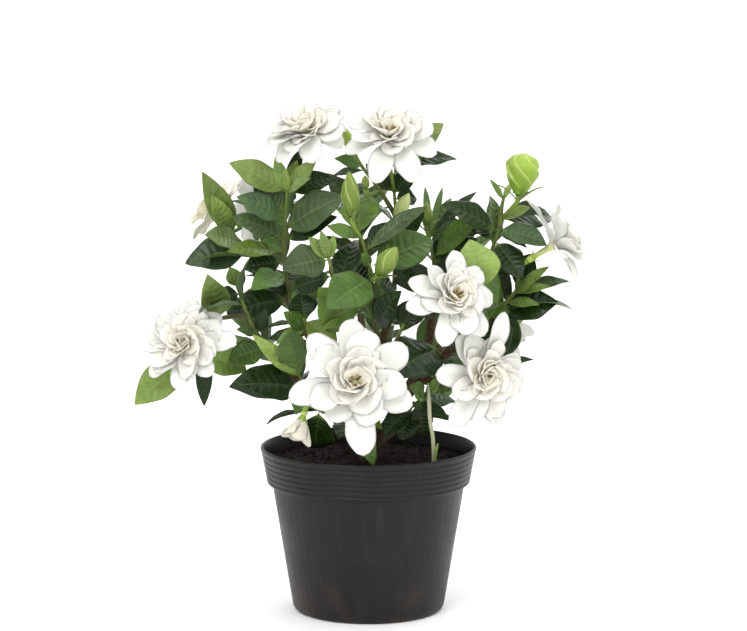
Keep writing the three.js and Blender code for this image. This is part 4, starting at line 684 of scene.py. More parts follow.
def lay_out():
    branches = lay_out_stems()
    for branch in branches:
        trunk = route_samples(branch["trunk"], TRUNK_STEP)
        add_obstacle("trunk", trunk, STEM_CLEARANCE + TRUNK_RADII[0] - 1)
        add_obstacle(branch["name"], branch["samples"], STEM_CLEARANCE)
        for route, _ in branch["stalks"]:
            add_obstacle(branch["name"], route_samples(route), STEM_CLEARANCE)
    for row in BLOOMS:
        bloom_obstacle(row)
    for row in BUDS:
        bud_obstacle(row)
    add_obstacle("dry_grass", route_samples([seen(place) for place in DRY_GRASS]), STEM_CLEARANCE)
    for branch in branches:
        rooted = list(branch["samples"])
        for route, _ in branch["stalks"]:
            rooted += root_samples(route_samples(route))
        branch["leaves"] = [drawn_leaf(branch["name"], rooted, row) for row in branch["leaves"]]
    for branch in branches:
        branch["leaves"] += ruled_leaves(branch["name"], branch["main"], branch["whorls"])
        branch["leaves"] = [leaf for leaf in branch["leaves"] if leaf is not None]
    return branches


# Meshes

class Piece:
    """Points, faces and their colours, gathered for one mesh."""

    def __init__(self):
        self.points, self.uv, self.tint, self.trait = [], [], [], []
        self.faces, self.looks = [], []
        self.count = 0

    def add(self, points, faces, across, along, tint, trait=(0, 0, 0), look=0):
        """Points and faces, each point with its place on the surface and its tint. The traits are
        what the look reads besides: a leaf's side veins, its small veins with their painted shade
        and its underside, or a stem's bark."""
        self.points.append(points)
        self.uv.append(np.stack((across, along), axis=1))
        self.tint.append(np.broadcast_to(tint, (len(points), 3)))
        self.trait.append(np.broadcast_to(trait, (len(points), 3)))
        self.faces += [[corner + self.count for corner in face] for face in faces]
        self.looks += [look] * len(faces)
        self.count += len(points)

    def mesh(self, name, materials):
        mesh = bpy.data.meshes.new(name)
        mesh.from_pydata((np.concatenate(self.points) * MM).tolist(), [], self.faces)
        corners = np.empty(len(mesh.loops), np.int32)
        mesh.loops.foreach_get("vertex_index", corners)
        layer = mesh.uv_layers.new(name="surface")
        layer.data.foreach_set("uv", np.concatenate(self.uv)[corners].ravel().astype(np.float32))
        for label, rows in (("tint", self.tint), ("trait", self.trait)):
            values = np.pad(np.concatenate(rows), ((0, 0), (0, 1)), constant_values=1)
            colours = mesh.color_attributes.new(label, "FLOAT_COLOR", "POINT")
            colours.data.foreach_set("color", values.ravel().astype(np.float32))
        for material in materials:
            mesh.materials.append(material)
        mesh.polygons.foreach_set("material_index", np.array(self.looks, np.int32))
        mesh.polygons.foreach_set("use_smooth", np.ones(len(self.faces), bool))
        mesh.update()
        return mesh

    def stand(self, name, node, slot, *materials):
        """The piece as an object that stands for a CAD node."""
        piece = placed(name, self.mesh(name, materials))
        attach(piece, "root")
        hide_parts(node)
        return piece


def placed(name, data):
    """A new object in the scene, made of a mesh, light or camera."""
    thing = bpy.data.objects.new(name, data)
    bpy.context.scene.collection.objects.link(thing)
    return thing


@functools.cache
def sheet_grid(rows, columns):
    """The points of a closed sheet: shares along (0 to 1) and across (-1 to 1), which face they
    are on (1 upper, -1 lower, 0 edge), and the sheet's faces."""
    index = {}

    def corner(i, j, face):
        if i in (0, rows - 1):
            key = (i, (columns - 1) / 2, 0)
        elif j in (0, columns - 1):
            key = (i, j, 0)
        else:
            key = (i, j, face)
        return index.setdefault(key, len(index))

    faces = []
    for face, i, j in itertools.product((1, -1), range(rows - 1), range(columns - 1)):
        around = dict.fromkeys(corner(i + a, j + b, face) for a, b in ((0, 0), (1, 0), (1, 1), (0, 1)))
        faces.append(list(around)[::face])
    along, across, side = np.array(list(index)).T
    return along / (rows - 1), 2 * across / (columns - 1) - 1, side, faces


def round_edge(u, s):
    """The share of its thickness that a round-edged sheet has at u along and s across."""
    return np.sqrt(np.maximum(1 - s * s, 0)) * (u * (1 - u) > 0)


def ring_angles(sides):
    return 2 * np.pi * np.arange(sides) / sides


def add_rings(piece, rings, poles, tint, trait, look=0):
    """Rings of points joined into a closed shape with a pole at each end. The tint is one
    colour, or rows of colours from pole to pole."""
    rows, sides, _ = rings.shape
    corners = np.arange(rows * sides).reshape(rows, sides)
    turned_on = np.roll(corners, -1, axis=1)
    quads = np.stack((corners[:-1], turned_on[:-1], turned_on[1:], corners[1:]), axis=-1)
    faces = quads.reshape(-1, 4).tolist()
    start, end = rows * sides, rows * sides + 1
    faces += [[start, (j + 1) % sides, j] for j in range(sides)]
    faces += [[end, start - sides + j, start - sides + (j + 1) % sides] for j in range(sides)]
    across, along = np.meshgrid(np.arange(sides) / sides, np.arange(rows) / rows)
    if np.ndim(tint) > 1:
        tint = np.broadcast_to(tint, (rows + 2, sides, 3))
        tint = np.concatenate((tint[1:-1].reshape(-1, 3), tint[0, :1], tint[-1, :1]))
    piece.add(np.concatenate((rings.reshape(-1, 3), poles)), faces, np.append(across, (0, 0)),
              np.append(along, (0, 1)), tint, trait, look)


def tube(piece, points, radii, sides, tint, bark=0, look=0):
    """A closed round tube along points, with a radius and, if wanted, a tint at each point."""
    points = np.asarray(points)
    ahead = np.gradient(points, axis=0)
    ahead = ahead / np.linalg.norm(ahead, axis=1)[:, None]
    side = VIEW_RIGHT if abs(ahead[0][0]) < 0.8 else TO_VIEWER
    angles = ring_angles(sides)[:, None]
    rings = []
    for point, radius, direction in zip(points, np.broadcast_to(radii, len(points)), ahead):
        side = unit(side - direction * float(side @ direction))
        ring = side * np.cos(angles) + np.cross(direction, side) * np.sin(angles)
        rings.append(point + ring * radius)
    if np.ndim(tint) > 1:
        tint = np.pad(tint, ((1, 1), (0, 0)), "edge")[:, None]
    add_rings(piece, np.array(rings), points[[0, -1]], tint, (bark, 0, 0), look)


def turned(piece, profile, sides, tint, swell, bark=0, place=None):
    """A closed turned shape from [radius, height] rows that start and end on the axis. swell
    changes radii and heights by angle, and place moves the points elsewhere."""
    radii, heights = np.array(profile, float).T
    radius, angle = np.meshgrid(radii[1:-1], ring_angles(sides), indexing="ij")
    height = np.repeat(heights[1:-1, None], sides, axis=1)
    radius, height = swell(radius, angle, height)
    rings = np.stack((radius * np.cos(angle), radius * np.sin(angle), height), axis=-1)
    poles = UP * heights[[0, -1], None]
    if place is not None:
        rings, poles = place(rings), place(poles)
    add_rings(piece, rings, poles, tint, (bark, 0, 0))


# Materials

class Value:
    """A number, vector or colour that one shader node hands on to the next."""

    def __init__(self, look, socket):
        self.look = look
        self.socket = socket

    def math(self, operation, other=0):
        return self.look.add("Math", {0: self, 1: other}, operation=operation)

    def __add__(self, other):
        return self.math("ADD", other)

    def __sub__(self, other):
        return self.math("SUBTRACT", other)

    def __mul__(self, other):
        return self.math("MULTIPLY", other)

    def between(self, low, high, to_low=0, to_high=1):
        """Goes smoothly from one number to another while this value goes from low to high."""
        return self.look.add("MapRange", {0: self, 1: low, 2: high, 3: to_low, 4: to_high},
                             interpolation_type="SMOOTHSTEP")

    def blend(self, share, colour):
        return self.look.mix(share, self, colour)


class Look:
    """The shader nodes of a new material, or of the world."""

    def __init__(self, owner):
        owner.use_nodes = True
        self.owner = owner
        self.tree = owner.node_tree
        self.tree.nodes.clear()

    def add(self, kind, inputs, output=0, **settings):
        """A node of a kind; its inputs are values of other nodes, colours or numbers."""
        node = self.tree.nodes.new("ShaderNode" + kind)
        for name, value in settings.items():
            setattr(node, name, value)
        for name, value in inputs.items():
            socket = node.inputs[name]
            if isinstance(value, Value):
                self.tree.links.new(value.socket, socket)
            elif isinstance(value, np.ndarray):
                socket.default_value = (*value, 1)
            else:
                socket.default_value = value
        return Value(self, node.outputs[output]) if node.outputs else None

    def mix(self, share, first, second):
        return self.add("Mix", {0: share, 6: first, 7: second}, 2, data_type="RGBA")

    def place(self):
        return self.add("TexCoord", {}, 3)

    def attribute(self, name):
        return self.add("Attribute", {}, attribute_name=name)

    def split(self, vector):
        return [self.add("SeparateXYZ", {0: vector}, part) for part in range(3)]

    def sheet_place(self):
        """How far across and along a sheet a point lies, both from 0 to 1."""
        return self.split(self.add("UVMap", {}, uv_map="surface"))[:2]

    def noise(self, scale, detail=3, distortion=0, vector=None):
        return self.add("TexNoise", {"Scale": scale, "Detail": detail, "Distortion": distortion,
                                               "Vector": vector or self.place()})

    def streaks(self, across_scale, along_scale, distortion):
        """Noise that is drawn out along a sheet."""
        across, along = self.sheet_place()
        drawn_out = self.add("CombineXYZ", {0: across * across_scale, 1: along * along_scale})
        return self.noise(1, 3, distortion, drawn_out)

    def cells(self, scale, **settings):
        return self.add("TexVoronoi", {"Vector": self.place(), "Scale": scale}, **settings)

    def surface(self, height, distance, strength, **values):
        """The finished material, with bumps of this height; values are the shader's inputs."""
        bump = self.add("Bump", {"Height": height, "Distance": distance, "Strength": strength})
        inputs = {name.replace("_", " "): value for name, value in values.items()}
        shader = self.add("BsdfPrincipled", {"Normal": bump, **inputs})
        self.add("OutputMaterial", {"Surface": shader})
        return self.owner


new_material = bpy.data.materials.new
VEIN_PAIRS = 8
VEIN_SLANT = 1.1


def leaf_look():
    look = Look(new_material("leaf"))
    across, along = look.sheet_place()
    offset = (across * 2 - 1).math("ABSOLUTE")
    vein_share, small_vein_shade_share, underside = look.split(look.attribute("trait"))
    slant = offset.math("POWER", 1.25) * VEIN_SLANT
    phase = look.noise(60, 2) * 0.35 + (along * VEIN_PAIRS - slant)
    wave = (phase * (2 * math.pi)).math("COSINE")
    fade = offset.between(0.95, 0.4)
    rib = offset.between(0.07, 0.02)
    lines = (wave.between(0.9, 1) * fade * 0.5).math("MAXIMUM", rib)
    fine = look.noise(520, 4)
    patches = look.noise(42, 3, 0.6)
    tint = look.attribute("tint")
    shaded = tint.blend(0.4, srgb(10, 26, 6)).blend(patches.between(0.3, 0.72), tint)
    mottled = shaded.blend(fine.between(0.5, 0.72) * 0.16, tint.blend(0.3, srgb(150, 170, 90)))
    # painted shade: dark lines along the small veins' mesh stand for the shade in the creases between quilted
    # cells
    small_veins_and_shade = look.cells(180, feature="DISTANCE_TO_EDGE").between(0.1, 0) * (small_vein_shade_share * 0.5)
    meshed = mottled.blend(small_veins_and_shade, tint.blend(0.45, srgb(30, 60, 16)))
    edged = meshed.blend(offset.between(0.92, 1) * 0.4, tint.blend(0.4, srgb(176, 190, 116)))
    veined = edged.blend(lines * vein_share, tint.blend(0.5, srgb(176, 194, 120)))
    backed = veined.blend(underside * 0.4, srgb(104, 126, 78))
    height = wave * (fade * -0.34) - rib * 0.6 + fine * 0.22
    rough = patches.between(0.3, 0.8, 0.24, 0.4) + underside * 0.2
    return look.surface(height, 0.0007, 0.75, Base_Color=backed, Roughness=rough, IOR=1.45,
                        Specular_IOR_Level=0.26)


def petal_look():
    look = Look(new_material("petal"))
    streaks = look.streaks(26, 2.2, 0.3)
    patches = look.noise(60)
    streaked = look.attribute("tint").blend(streaks.between(0.42, 0.7) * 0.14, srgb(214, 205, 172))
    soft = streaked.blend(patches.between(0.5, 0.75) * 0.1, srgb(228, 220, 196))
    return look.surface(streaks * 0.8 + patches * 0.4, 0.0007, 0.7, Base_Color=soft,
                        Roughness=patches.between(0.2, 0.8, 0.5, 0.66), IOR=1.4,
                        Subsurface_Weight=0.2, Subsurface_Scale=0.004,
                        Subsurface_Radius=(1, 0.95, 0.8))


def stem_look():
    look = Look(new_material("stem"))
    bark = look.split(look.attribute("trait"))[0]
    grain = look.noise(520, 5, 0.4)
    patches = look.noise(70)
    tint = look.attribute("tint")
    cracked = tint.blend(grain.between(0.42, 0.62) * bark, tint.blend(0.55, srgb(20, 14, 8)))
    worn = cracked.blend(patches.between(0.45, 0.7) * 0.4, tint.blend(0.3, srgb(150, 140, 110)))
    return look.surface(grain * (bark * 0.9 + 0.15), 0.0009, 0.8, Base_Color=worn,
                        Roughness=bark.between(0, 1, 0.42, 0.85), Specular_IOR_Level=0.25)


def pot_look():
    look = Look(new_material("pot_plastic"))
    across, away, height = look.split(look.place())
    radius = (across * across + away * away).math("SQRT")
    taper = (RIM_RADIUS - BAND_FOOT_RADIUS) / BAND_HEIGHT
    wall = (RIM_RADIUS - taper * POT_HEIGHT) * MM
    within = (radius - height * taper).between(wall - 0.0005, wall - 0.0015)
    # painted shade: the inner wall's upper part, up to the rim, is darkened nearly to black where the rim
    # shades it
    painted_inner_shade = height.between(0.112, 0.12) * within
    grain = look.noise(900)
    cloud = look.noise(26, 4, 0.5)
    stretched = look.add("Mapping", {"Vector": look.place(), "Scale": (90, 90, 6)})
    streaks = look.noise(1, 4, 0.2, stretched)
    dust = look.noise(9, 5, 1.2).between(0.42, 0.72) * (height.between(0.05, 0) * 0.6 + 0.05)
    film = streaks.between(0.5, 0.75) * 0.16 + cloud.between(0.5, 0.8) * 0.14
    plain = look.mix(film, srgb(21, 21, 22), srgb(54, 54, 52))
    # lighter dust towards the foot, then the painted shade on the upper inner wall
    shaded = plain.blend(dust, srgb(72, 58, 42)).blend(painted_inner_shade * 0.85, srgb(10, 9, 7))
    return look.surface(grain * 0.3 + streaks * 0.5, 0.0004, 0.4, Base_Color=shaded,
                        Roughness=cloud.between(0.3, 0.8, 0.36, 0.5) + dust * 0.3, IOR=1.5,
                        Specular_IOR_Level=0.22)


def soil_look():
    look = Look(new_material("potting_soil"))
    crumbs = look.noise(480, 6, 0.3)
    clods = look.noise(110, 4, 0.6)
    dark = look.mix(clods.between(0.35, 0.68), srgb(9, 7, 5), srgb(25, 19, 13))
    grains = dark.blend(crumbs.between(0.5, 0.68) * 0.6, srgb(58, 46, 30))
    speck = look.mix(clods.between(0.45, 0.55), srgb(108, 92, 72), srgb(14, 10, 8))
    specks = grains.blend(look.cells(520).between(0.2, 0.1) * 0.6, speck)
    return look.surface(crumbs + clods * 1.3, 0.003, 1,
                        Base_Color=specks.blend(0.35, look.attribute("tint")),
                        Roughness=crumbs.between(0.3, 0.7, 0.8, 0.95), Specular_IOR_Level=0.12)


def grass_look():
    look = Look(new_material("grass"))
    fibres = look.streaks(20, 3, 0.2)
    tint = look.attribute("tint")
    colour = tint.blend(0.3, srgb(120, 104, 66)).blend(fibres.between(0.35, 0.65), tint)
    return look.surface(fibres, 0.0004, 0.6, Base_Color=colour,
                        Roughness=fibres.between(0.3, 0.7, 0.6, 0.8))


LEAF, PETAL, STEM = leaf_look(), petal_look(), stem_look()
POT, SOIL, GRASS = pot_look(), soil_look(), grass_look()

# Leaves above this width, and above this length too, get finer meshes; both in mm
SMALL_LEAF = 8
LONG_LEAF = 30
# The depth of a leaf's quilting and midrib and the wave of its edge as shares of its half width,
# and the drop of its tip as a share of its length
LEAF_QUILT = 0.017
LEAF_RIB = 0.05
LEAF_EDGE = 0.06
LEAF_TIP_DROP = 0.05
LEAF_STALK_TINT = srgb(122, 144, 62)
BARK_TINT = srgb(72, 56, 38)
TRUNK_TINTS = (BARK_TINT, srgb(96, 80, 52))
SHOOT_TINTS = (srgb(76, 70, 40), srgb(90, 112, 42))
STALK_TINTS = (SHOOT_TINTS[1], srgb(128, 154, 66))
# How much like bark the surface is, from 0 to 1
TRUNK_BARK = 1
SHOOT_BARK = 0.35
STALK_BARK = 0.1
BUD_BARK = 0.15
ANTHER_BARK = 0.6
# How far stems swell at their knots, as a share of their radius
SHOOT_KNOTS = 0.16
TRUNK_KNOTS = 0.1
STEM_SIDES = 12
CROWN_SIDES = 32
# The second of a piece's two materials
SECOND_LOOK = 1
shade = Chance(4211)


# Leafy stems

def fine_leaf(piece, leaf):
    """A leaf with a round-edged blade, a sunk midrib and quilting between its side veins."""
    rows, columns = 20, 7
    if leaf["width"] > SMALL_LEAF:
        rows, columns = (46, 15) if leaf["length"] > LONG_LEAF else (32, 11)
    u, s, face, faces = sheet_grid(rows, columns)
    v, blade, _ = leaf_half(leaf, u)
    level = np.abs(s)
    wave = np.cos(2 * np.pi * (v * VEIN_PAIRS - VEIN_SLANT * level ** 1.25))
    quilt = -LEAF_QUILT * blade * np.maximum(wave, 0) ** 3 * np.clip(1.3 - level, 0, 1)
    rib = -LEAF_RIB * blade * np.exp(-(s / 0.09) ** 2)
    edge = LEAF_EDGE * blade * np.sin(17 * v + 2 * leaf["phase"] + 1.4 * s) * level ** 3
    tip = -LEAF_TIP_DROP * leaf["length"] * np.maximum(u - 0.72, 0) ** 2 / 0.08
    thick = LEAF_HALF_THICKNESS * (1 + 1.1 * np.exp(-(s / 0.12) ** 2)) * round_edge(u, s)
    points = leaf_points(leaf, u, s, quilt + rib + edge + tip + face * thick)
    tint, veins, small_veins_and_shade = LEAF_KINDS[leaf["kind"]][3:]
    tint = tint * (0.78 + 0.44 * shade())
    tint = tint * np.array((0.9 + 0.2 * shade(), 1, 0.9 + 0.2 * shade()))
    colours = graded((tint, LEAF_STALK_TINT), 0.6 * np.clip(1 - v / 0.12, 0, 1))
    traits = np.full((len(u), 3), (veins, small_veins_and_shade, 0))
    traits[:, 2] = face < 0
    piece.add(points, faces, (s + 1) / 2, v, colours, traits)


def eased(values, rounds):
    """Values or points with their corners smoothed off; the two ends stay."""
    values = np.array(values)
    for _ in range(rounds):
        values[1:-1] = 0.25 * values[:-2] + 0.5 * values[1:-1] + 0.25 * values[2:]
    return values


def stem(piece, route, step, radii, tints, bark, knots=0, look=0):
    points = eased(route_samples(route, step), 3)
    share = np.linspace(0, 1, len(points))
    sizes = np.interp(share, (0, 1), radii)
    sizes = sizes * (1 + knots * np.maximum(np.cos(share * len(points) * 1.35), 0) ** 4)
    tube(piece, points, sizes, STEM_SIDES, graded(tints, share), bark, look)


def leafy_stem(branch):
    piece = Piece()
    for route in branch["shoots"]:
        stem(piece, route, SHOOT_STEP, SHOOT_RADII, SHOOT_TINTS, SHOOT_BARK, SHOOT_KNOTS, SECOND_LOOK)
    for route, lobes in branch["stalks"]:
        stem(piece, route, SHOOT_STEP, STALK_RADII, STALK_TINTS, STALK_BARK, 0, SECOND_LOOK)
        for lobe in lobes:
            fine_leaf(piece, lobe)
    for leaf in branch["leaves"]:
        fine_leaf(piece, leaf)
    piece.stand(branch["name"] + "_grown", branch["name"], "leaf_green", LEAF, STEM)


def trunk(branches):
    piece = Piece()
    foot = SOIL_TOP - CROWN_DEPTH
    crown = [[0, foot], [CROWN_RADIUS, foot], [CROWN_RADIUS, SOIL_TOP - 8], [CROWN_RADIUS, SOIL_TOP],
             [7.7, SOIL_TOP + 4], [6.6, SOIL_TOP + 7.5], [4.8, CROWN_TOP - 1.8], [2.4, CROWN_TOP - 0.4],
             [0, CROWN_TOP]]

    def lumps(radius, angle, height):
        return radius * (1 - 0.05 * (1 + np.sin(3 * angle + height))), height

    turned(piece, crown, CROWN_SIDES, BARK_TINT, lumps, TRUNK_BARK)
    for branch in branches:
        stem(piece, branch["trunk"], TRUNK_STEP, TRUNK_RADII, TRUNK_TINTS, TRUNK_BARK, TRUNK_KNOTS)
    piece.stand("trunk_grown", "trunk", "bark", STEM)


# Blooms

# The waves of a petal's edge in the outer rings and in the heart, the roll of its edge and the
# dip along its middle, all as shares of its width, and how full its outline is
OUTER_RUFFLE = 0.075
HEART_RUFFLE = 0.11
PETAL_ROLL = 0.07
PETAL_DIP = 0.03
PETAL_FULLNESS = 0.52
PETAL_WHITE = srgb(226, 226, 221)
# the heart's cream: partly the real cream of inner petals, partly painted light, kept brighter than the outer
# white to lift the shade deep in the heart
PETAL_CREAM_AND_PAINTED_LIGHT = srgb(246, 242, 228)
PETAL_ROOT = srgb(234, 231, 196)
ODD_PETALS = {"bloom_spent": srgb(228, 222, 205), "bloom_left_back": srgb(234, 228, 204)}
TUBE_TINTS = (srgb(164, 182, 92), srgb(224, 224, 170))
CALYX_TINT = srgb(146, 172, 66)
TUBE_SIDES = 16
# Radii of the tube behind a bloom's throat, in mm, at shares of its length
TUBE_ALONG = (0, 0.12, 0.3, 0.7, 0.88, 1)
TUBE_RADII = (2.5, 3, 2.3, 2.6, 4.4, 3.2)
CALYX_ANGLES = (10, 82, 154, 226, 298)
ANTHERS = 7
ANTHER_SIDES = 8
ANTHER_RADII = (0.35, 0.45, 0.85, 0.9, 0.35)
ANTHER_TINTS = (srgb(184, 162, 108), srgb(118, 90, 52))

# Rings of a full bloom's heart: count, turn, share, width, lean, curl, cup, root and height
HEART_RINGS = [
    (5, 28, 0.8, 0.62, 30, 8, 0.26, 2, 0.3), (5, 2, 0.62, 0.82, 42, 26, 0.42, 2, 0.9),
    (5, 38, 0.52, 0.88, 53, 42, 0.56, 1.8, 1.4), (4, 12, 0.41, 0.95, 65, 56, 0.7, 1.6, 2),
    (3, 50, 0.29, 1, 78, 68, 0.85, 1.2, 2.5),
]
FULL_RING = (7, 14, 0.9, 0.6, 22, 2, 0.2, 2.2, 0.1)
SPENT_RING = (5, 30, 0.85, 0.7, 60, 80, 0.4, 1.6, 0.4)
# How much steeper and longer a bloom's heart stands
RAISED_HEARTS = {"bloom_right": (17, 1.05), "bloom_left_back": (10, 1.02)}
# Blooms whose anthers show, and blooms that are round balls of petals
OPEN_HEARTS = ("bloom_front", "bloom_mid_right", "bloom_top_right")
FULL_HEARTS = ("bloom_left", "bloom_top_left", "bloom_low_right")


def fine_petal(piece, place, petal, tint, cream, ruffle=OUTER_RUFFLE, swirl=0):
    """A petal with a waved, slightly rolled edge; cream is how far its root's colour reaches
    and swirl lifts one side over its neighbour."""
    u, s, face, faces = sheet_grid(24, 11)
    phase = 6 * shade()
    size = petal["width"]
    edge = ruffle * size * np.sin((7 + 2 * shade()) * u + phase) * s * np.abs(s) * np.sin(np.pi * u)
    edge += 0.5 * ruffle * size * np.sin(4.5 * s + phase) * np.clip(u - 0.6, 0, 1) * 2.5
    edge += swirl * size * s * u
    roll = -PETAL_ROLL * size * np.abs(s) ** 4 * np.clip(u - 0.3, 0, 1)
    dip = -PETAL_DIP * size * np.exp(-(s / 0.15) ** 2) * np.sin(np.pi * u)
    thick = 0.8 * PETAL_HALF_THICKNESS * np.maximum(1 - s ** 4, 0)
    thick = thick * np.sqrt(np.clip(12 * u * (1 - u), 0, 1))
    ragged = s * (1 + 0.07 * u * np.sin(13 * u + 2 * phase + 2 * np.sign(s)))
    points = petal_points(place, petal, u, ragged, edge + roll + dip + face * thick, PETAL_FULLNESS)
    ends = (tint * (0.93 + 0.07 * shade()), PETAL_ROOT)
    piece.add(points, faces, (s + 1) / 2, u, graded(ends, np.clip(1 - u / cream, 0, 1) ** 1.3))


def heart_petals(row, ring):
    """One ring of a bloom's heart, each petal a little different."""
    count, turn, share, width, lean, curl, cup, root, height = ring
    steeper, longer = RAISED_HEARTS.get(row["name"], (0, 1))
    petals = []
    for i in range(count):
        length = row["size"] * (share * longer) * (0.9 + 0.2 * shade())
        petals.append({"length": length, "lean": lean + steeper + 12 * shade() - 6,
                       "curl": curl + steeper + 24 * shade() - 12,
                       "clock": turn + 360 * i / count + 28 * shade() - 14,
                       "width": length * width * (0.92 + 0.2 * shade()), "cup": cup, "root": root,
                       "height": height})
    return petals


def heart_rings(name):
    if name in OPEN_HEARTS:
        return HEART_RINGS[:-1]
    return [FULL_RING, *HEART_RINGS] if name in FULL_HEARTS else HEART_RINGS


def bloom_back(piece, place):
    """The tube behind a bloom's throat and the green lobes round its foot."""
    axis = place["axis"]
    foot = place["calyx"] + axis * STEM_GAP
    shares = np.linspace(0, 1, 14)
    line = foot + (place["throat"] + axis * 4 - foot) * shares[:, None]
    sizes = np.interp(shares, TUBE_ALONG, TUBE_RADII)
    tints = graded(TUBE_TINTS, np.clip(shares * 1.3 - 0.2, 0, 1))
    tube(piece, line, sizes, TUBE_SIDES, tints, STALK_BARK, SECOND_LOOK)
    for lobe in calyx_lobes(foot + axis * 2, axis, 9, 4.5, CALYX_ANGLES, 2):
        u, s, face, faces = sheet_grid(16, 5)
        points = leaf_points(lobe, u, s, face * 0.35 * round_edge(u, s))
        piece.add(points, faces, (s + 1) / 2, u, CALYX_TINT, (STALK_BARK, 0, 0), SECOND_LOOK)


def anthers(piece, place, size):
    axis = place["axis"]
    for i in range(ANTHERS):
        out = swung(place["up"], place["right"], 2 * math.pi * (i + 0.6 * shade()) / ANTHERS)
        reach = size * (0.07 + 0.07 * shade())
        base = place["throat"] + axis * 3.5 + out * 2
        middle = place["throat"] + axis * (6.5 + 0.5 * reach) + out * (0.55 * reach + 1)
        end = middle + axis * 3.5 + out * reach * 0.5
        line = [base, base + (middle - base) * 0.6, middle, (middle + end) / 2, end]
        tube(piece, line, ANTHER_RADII, ANTHER_SIDES, ANTHER_TINTS[i % 2], ANTHER_BARK, SECOND_LOOK)


def bloom(row):
    piece = Piece()
    name = row["name"]
    place = bloom_frame(row)
    spent = name == "bloom_spent"
    tint = ODD_PETALS.get(name, PETAL_WHITE)
    for petal in outer_petals(row):
        petal["width"] *= (1.35 if spent else 0.98) + 0.1 * shade()
        if spent:
            petal.update(lean=42 + 8 * shade(), curl=66 + 10 * shade(), cup=0.5)
        fine_petal(piece, place, petal, tint, 0.3)
    for i, ring in enumerate([SPENT_RING] if spent else heart_rings(name)):
        # inner rings lean further towards the heart's cream, partly painted light that lifts their shade
        colour = tint if spent else graded((tint, PETAL_CREAM_AND_PAINTED_LIGHT), min(0.3 * i, 1))
        for petal in heart_petals(row, ring):
            fine_petal(piece, place, petal, colour, 0.3 + 0.05 * i, HEART_RUFFLE, 0.08 if i else 0.03)
    bloom_back(piece, place)
    anthers(piece, place, row["size"])
    piece.stand(name + "_opened", name, "petal_spent" if spent else "petal_white", PETAL, STEM)


# Buds

BUD_TINTS = {
    "bud_top_pale": (srgb(150, 172, 92), srgb(196, 206, 140)),
    "bud_right_opening": (srgb(112, 146, 44), srgb(150, 176, 70)),
    "bud_top_left": (srgb(118, 150, 48), srgb(164, 186, 84)),
    "bud_centre_tall": (srgb(94, 114, 42), srgb(112, 132, 54)),
}
BUD_TINT = (srgb(98, 122, 46), srgb(128, 146, 66))
BUD_EDGE = srgb(206, 216, 140)
BUD_SIDES = 80
BUD_LAPS = 5
# A closed bud and one that begins to open: their radius shares along their length, and how far
# their laps twist and how deep they are
BUD_ALONG = (0, 0.1, 0.22, 0.45, 0.72, 0.92, 1)
CLOSED_BUD = ((0.4, 0.58, 0.8, 1, 0.74, 0.3, 0.02), 1.3, 0.12)
OPENING_BUD = ((0.34, 0.42, 0.62, 0.93, 1, 0.66, 0.02), 2.4, 0.2)


def bud(row):
    piece = Piece()
    base, axis, length = bud_frame(row)
    opening = row["name"] == "bud_right_opening"
    shares, twist, depth = OPENING_BUD if opening else CLOSED_BUD
    u = np.linspace(0, 1, 44)
    sizes = eased(np.interp(u, BUD_ALONG, shares), 4)
    sizes[[0, -1]] = 0
    profile = np.stack((sizes * row["radius"] * 1.02, STEM_GAP + (length - STEM_GAP) * u), axis=1)
    guide = unit(np.cross(axis, TO_VIEWER + VIEW_RIGHT * 0.3))
    other = np.cross(axis, guide)

    def lap(angle, share):
        return (BUD_LAPS * angle / (2 * np.pi) + twist * share) % 1

    def folds(radius, angle, height):
        share = height / length
        return radius * (1.02 - depth * (1 - lap(angle, share)) * np.clip(3 * share - 0.4, 0, 1)), height

    def place(points):
        return base + guide * points[..., :1] + other * points[..., 1:2] + axis * points[..., 2:]

    along = u[:, None]
    pale = np.clip(lap(ring_angles(BUD_SIDES), along) * 5 - 4, 0, 1) * np.clip(2 * along - 0.3, 0, 0.55)
    tint = graded((graded(BUD_TINTS.get(row["name"], BUD_TINT), along), BUD_EDGE), pale)
    turned(piece, profile, BUD_SIDES, tint, folds, BUD_BARK, place)
    piece.stand(row["name"] + "_grown", row["name"], "bud_green", STEM)


# Pot, soil and grass

POT_TINT = srgb(40, 41, 43)
SOIL_TINT = srgb(34, 25, 18)
CRUMB_TINTS = (srgb(88, 70, 50), srgb(26, 19, 14))
CRUMBS = 420
CRUMB_SIDES = 6
SOIL_SIDES = 200
# The soil's lumps as (waves to a mm, height in mm)
LUMPS = ((0.06, 1.1), (0.22, 0.9), (0.7, 0.8))
DRILL_SIDES = 32
GRASS_ROOT_SIDES = 10
# A blade's places, its width in mm and its colours at the foot and at the tip
BLADES = (
    (DRY_GRASS, DRY_GRASS_WIDTH, (srgb(180, 184, 140), srgb(200, 203, 180))),
    (GREEN_BLADE, 2.4, (srgb(112, 140, 70), srgb(140, 168, 90))),
)
GRASS_ROOT_TINT = srgb(150, 134, 96)
BAND_FOOT = POT_HEIGHT - BAND_HEIGHT


def inner_radius(height):
    if height > BAND_FOOT:
        return np.interp(height, (BAND_FOOT, POT_HEIGHT), (BODY_TOP_RADIUS + 1, RIM_RADIUS - RIM_LIP))
    return np.interp(height, (0, BAND_FOOT), (BODY_FOOT_RADIUS, BODY_TOP_RADIUS)) - POT_WALL


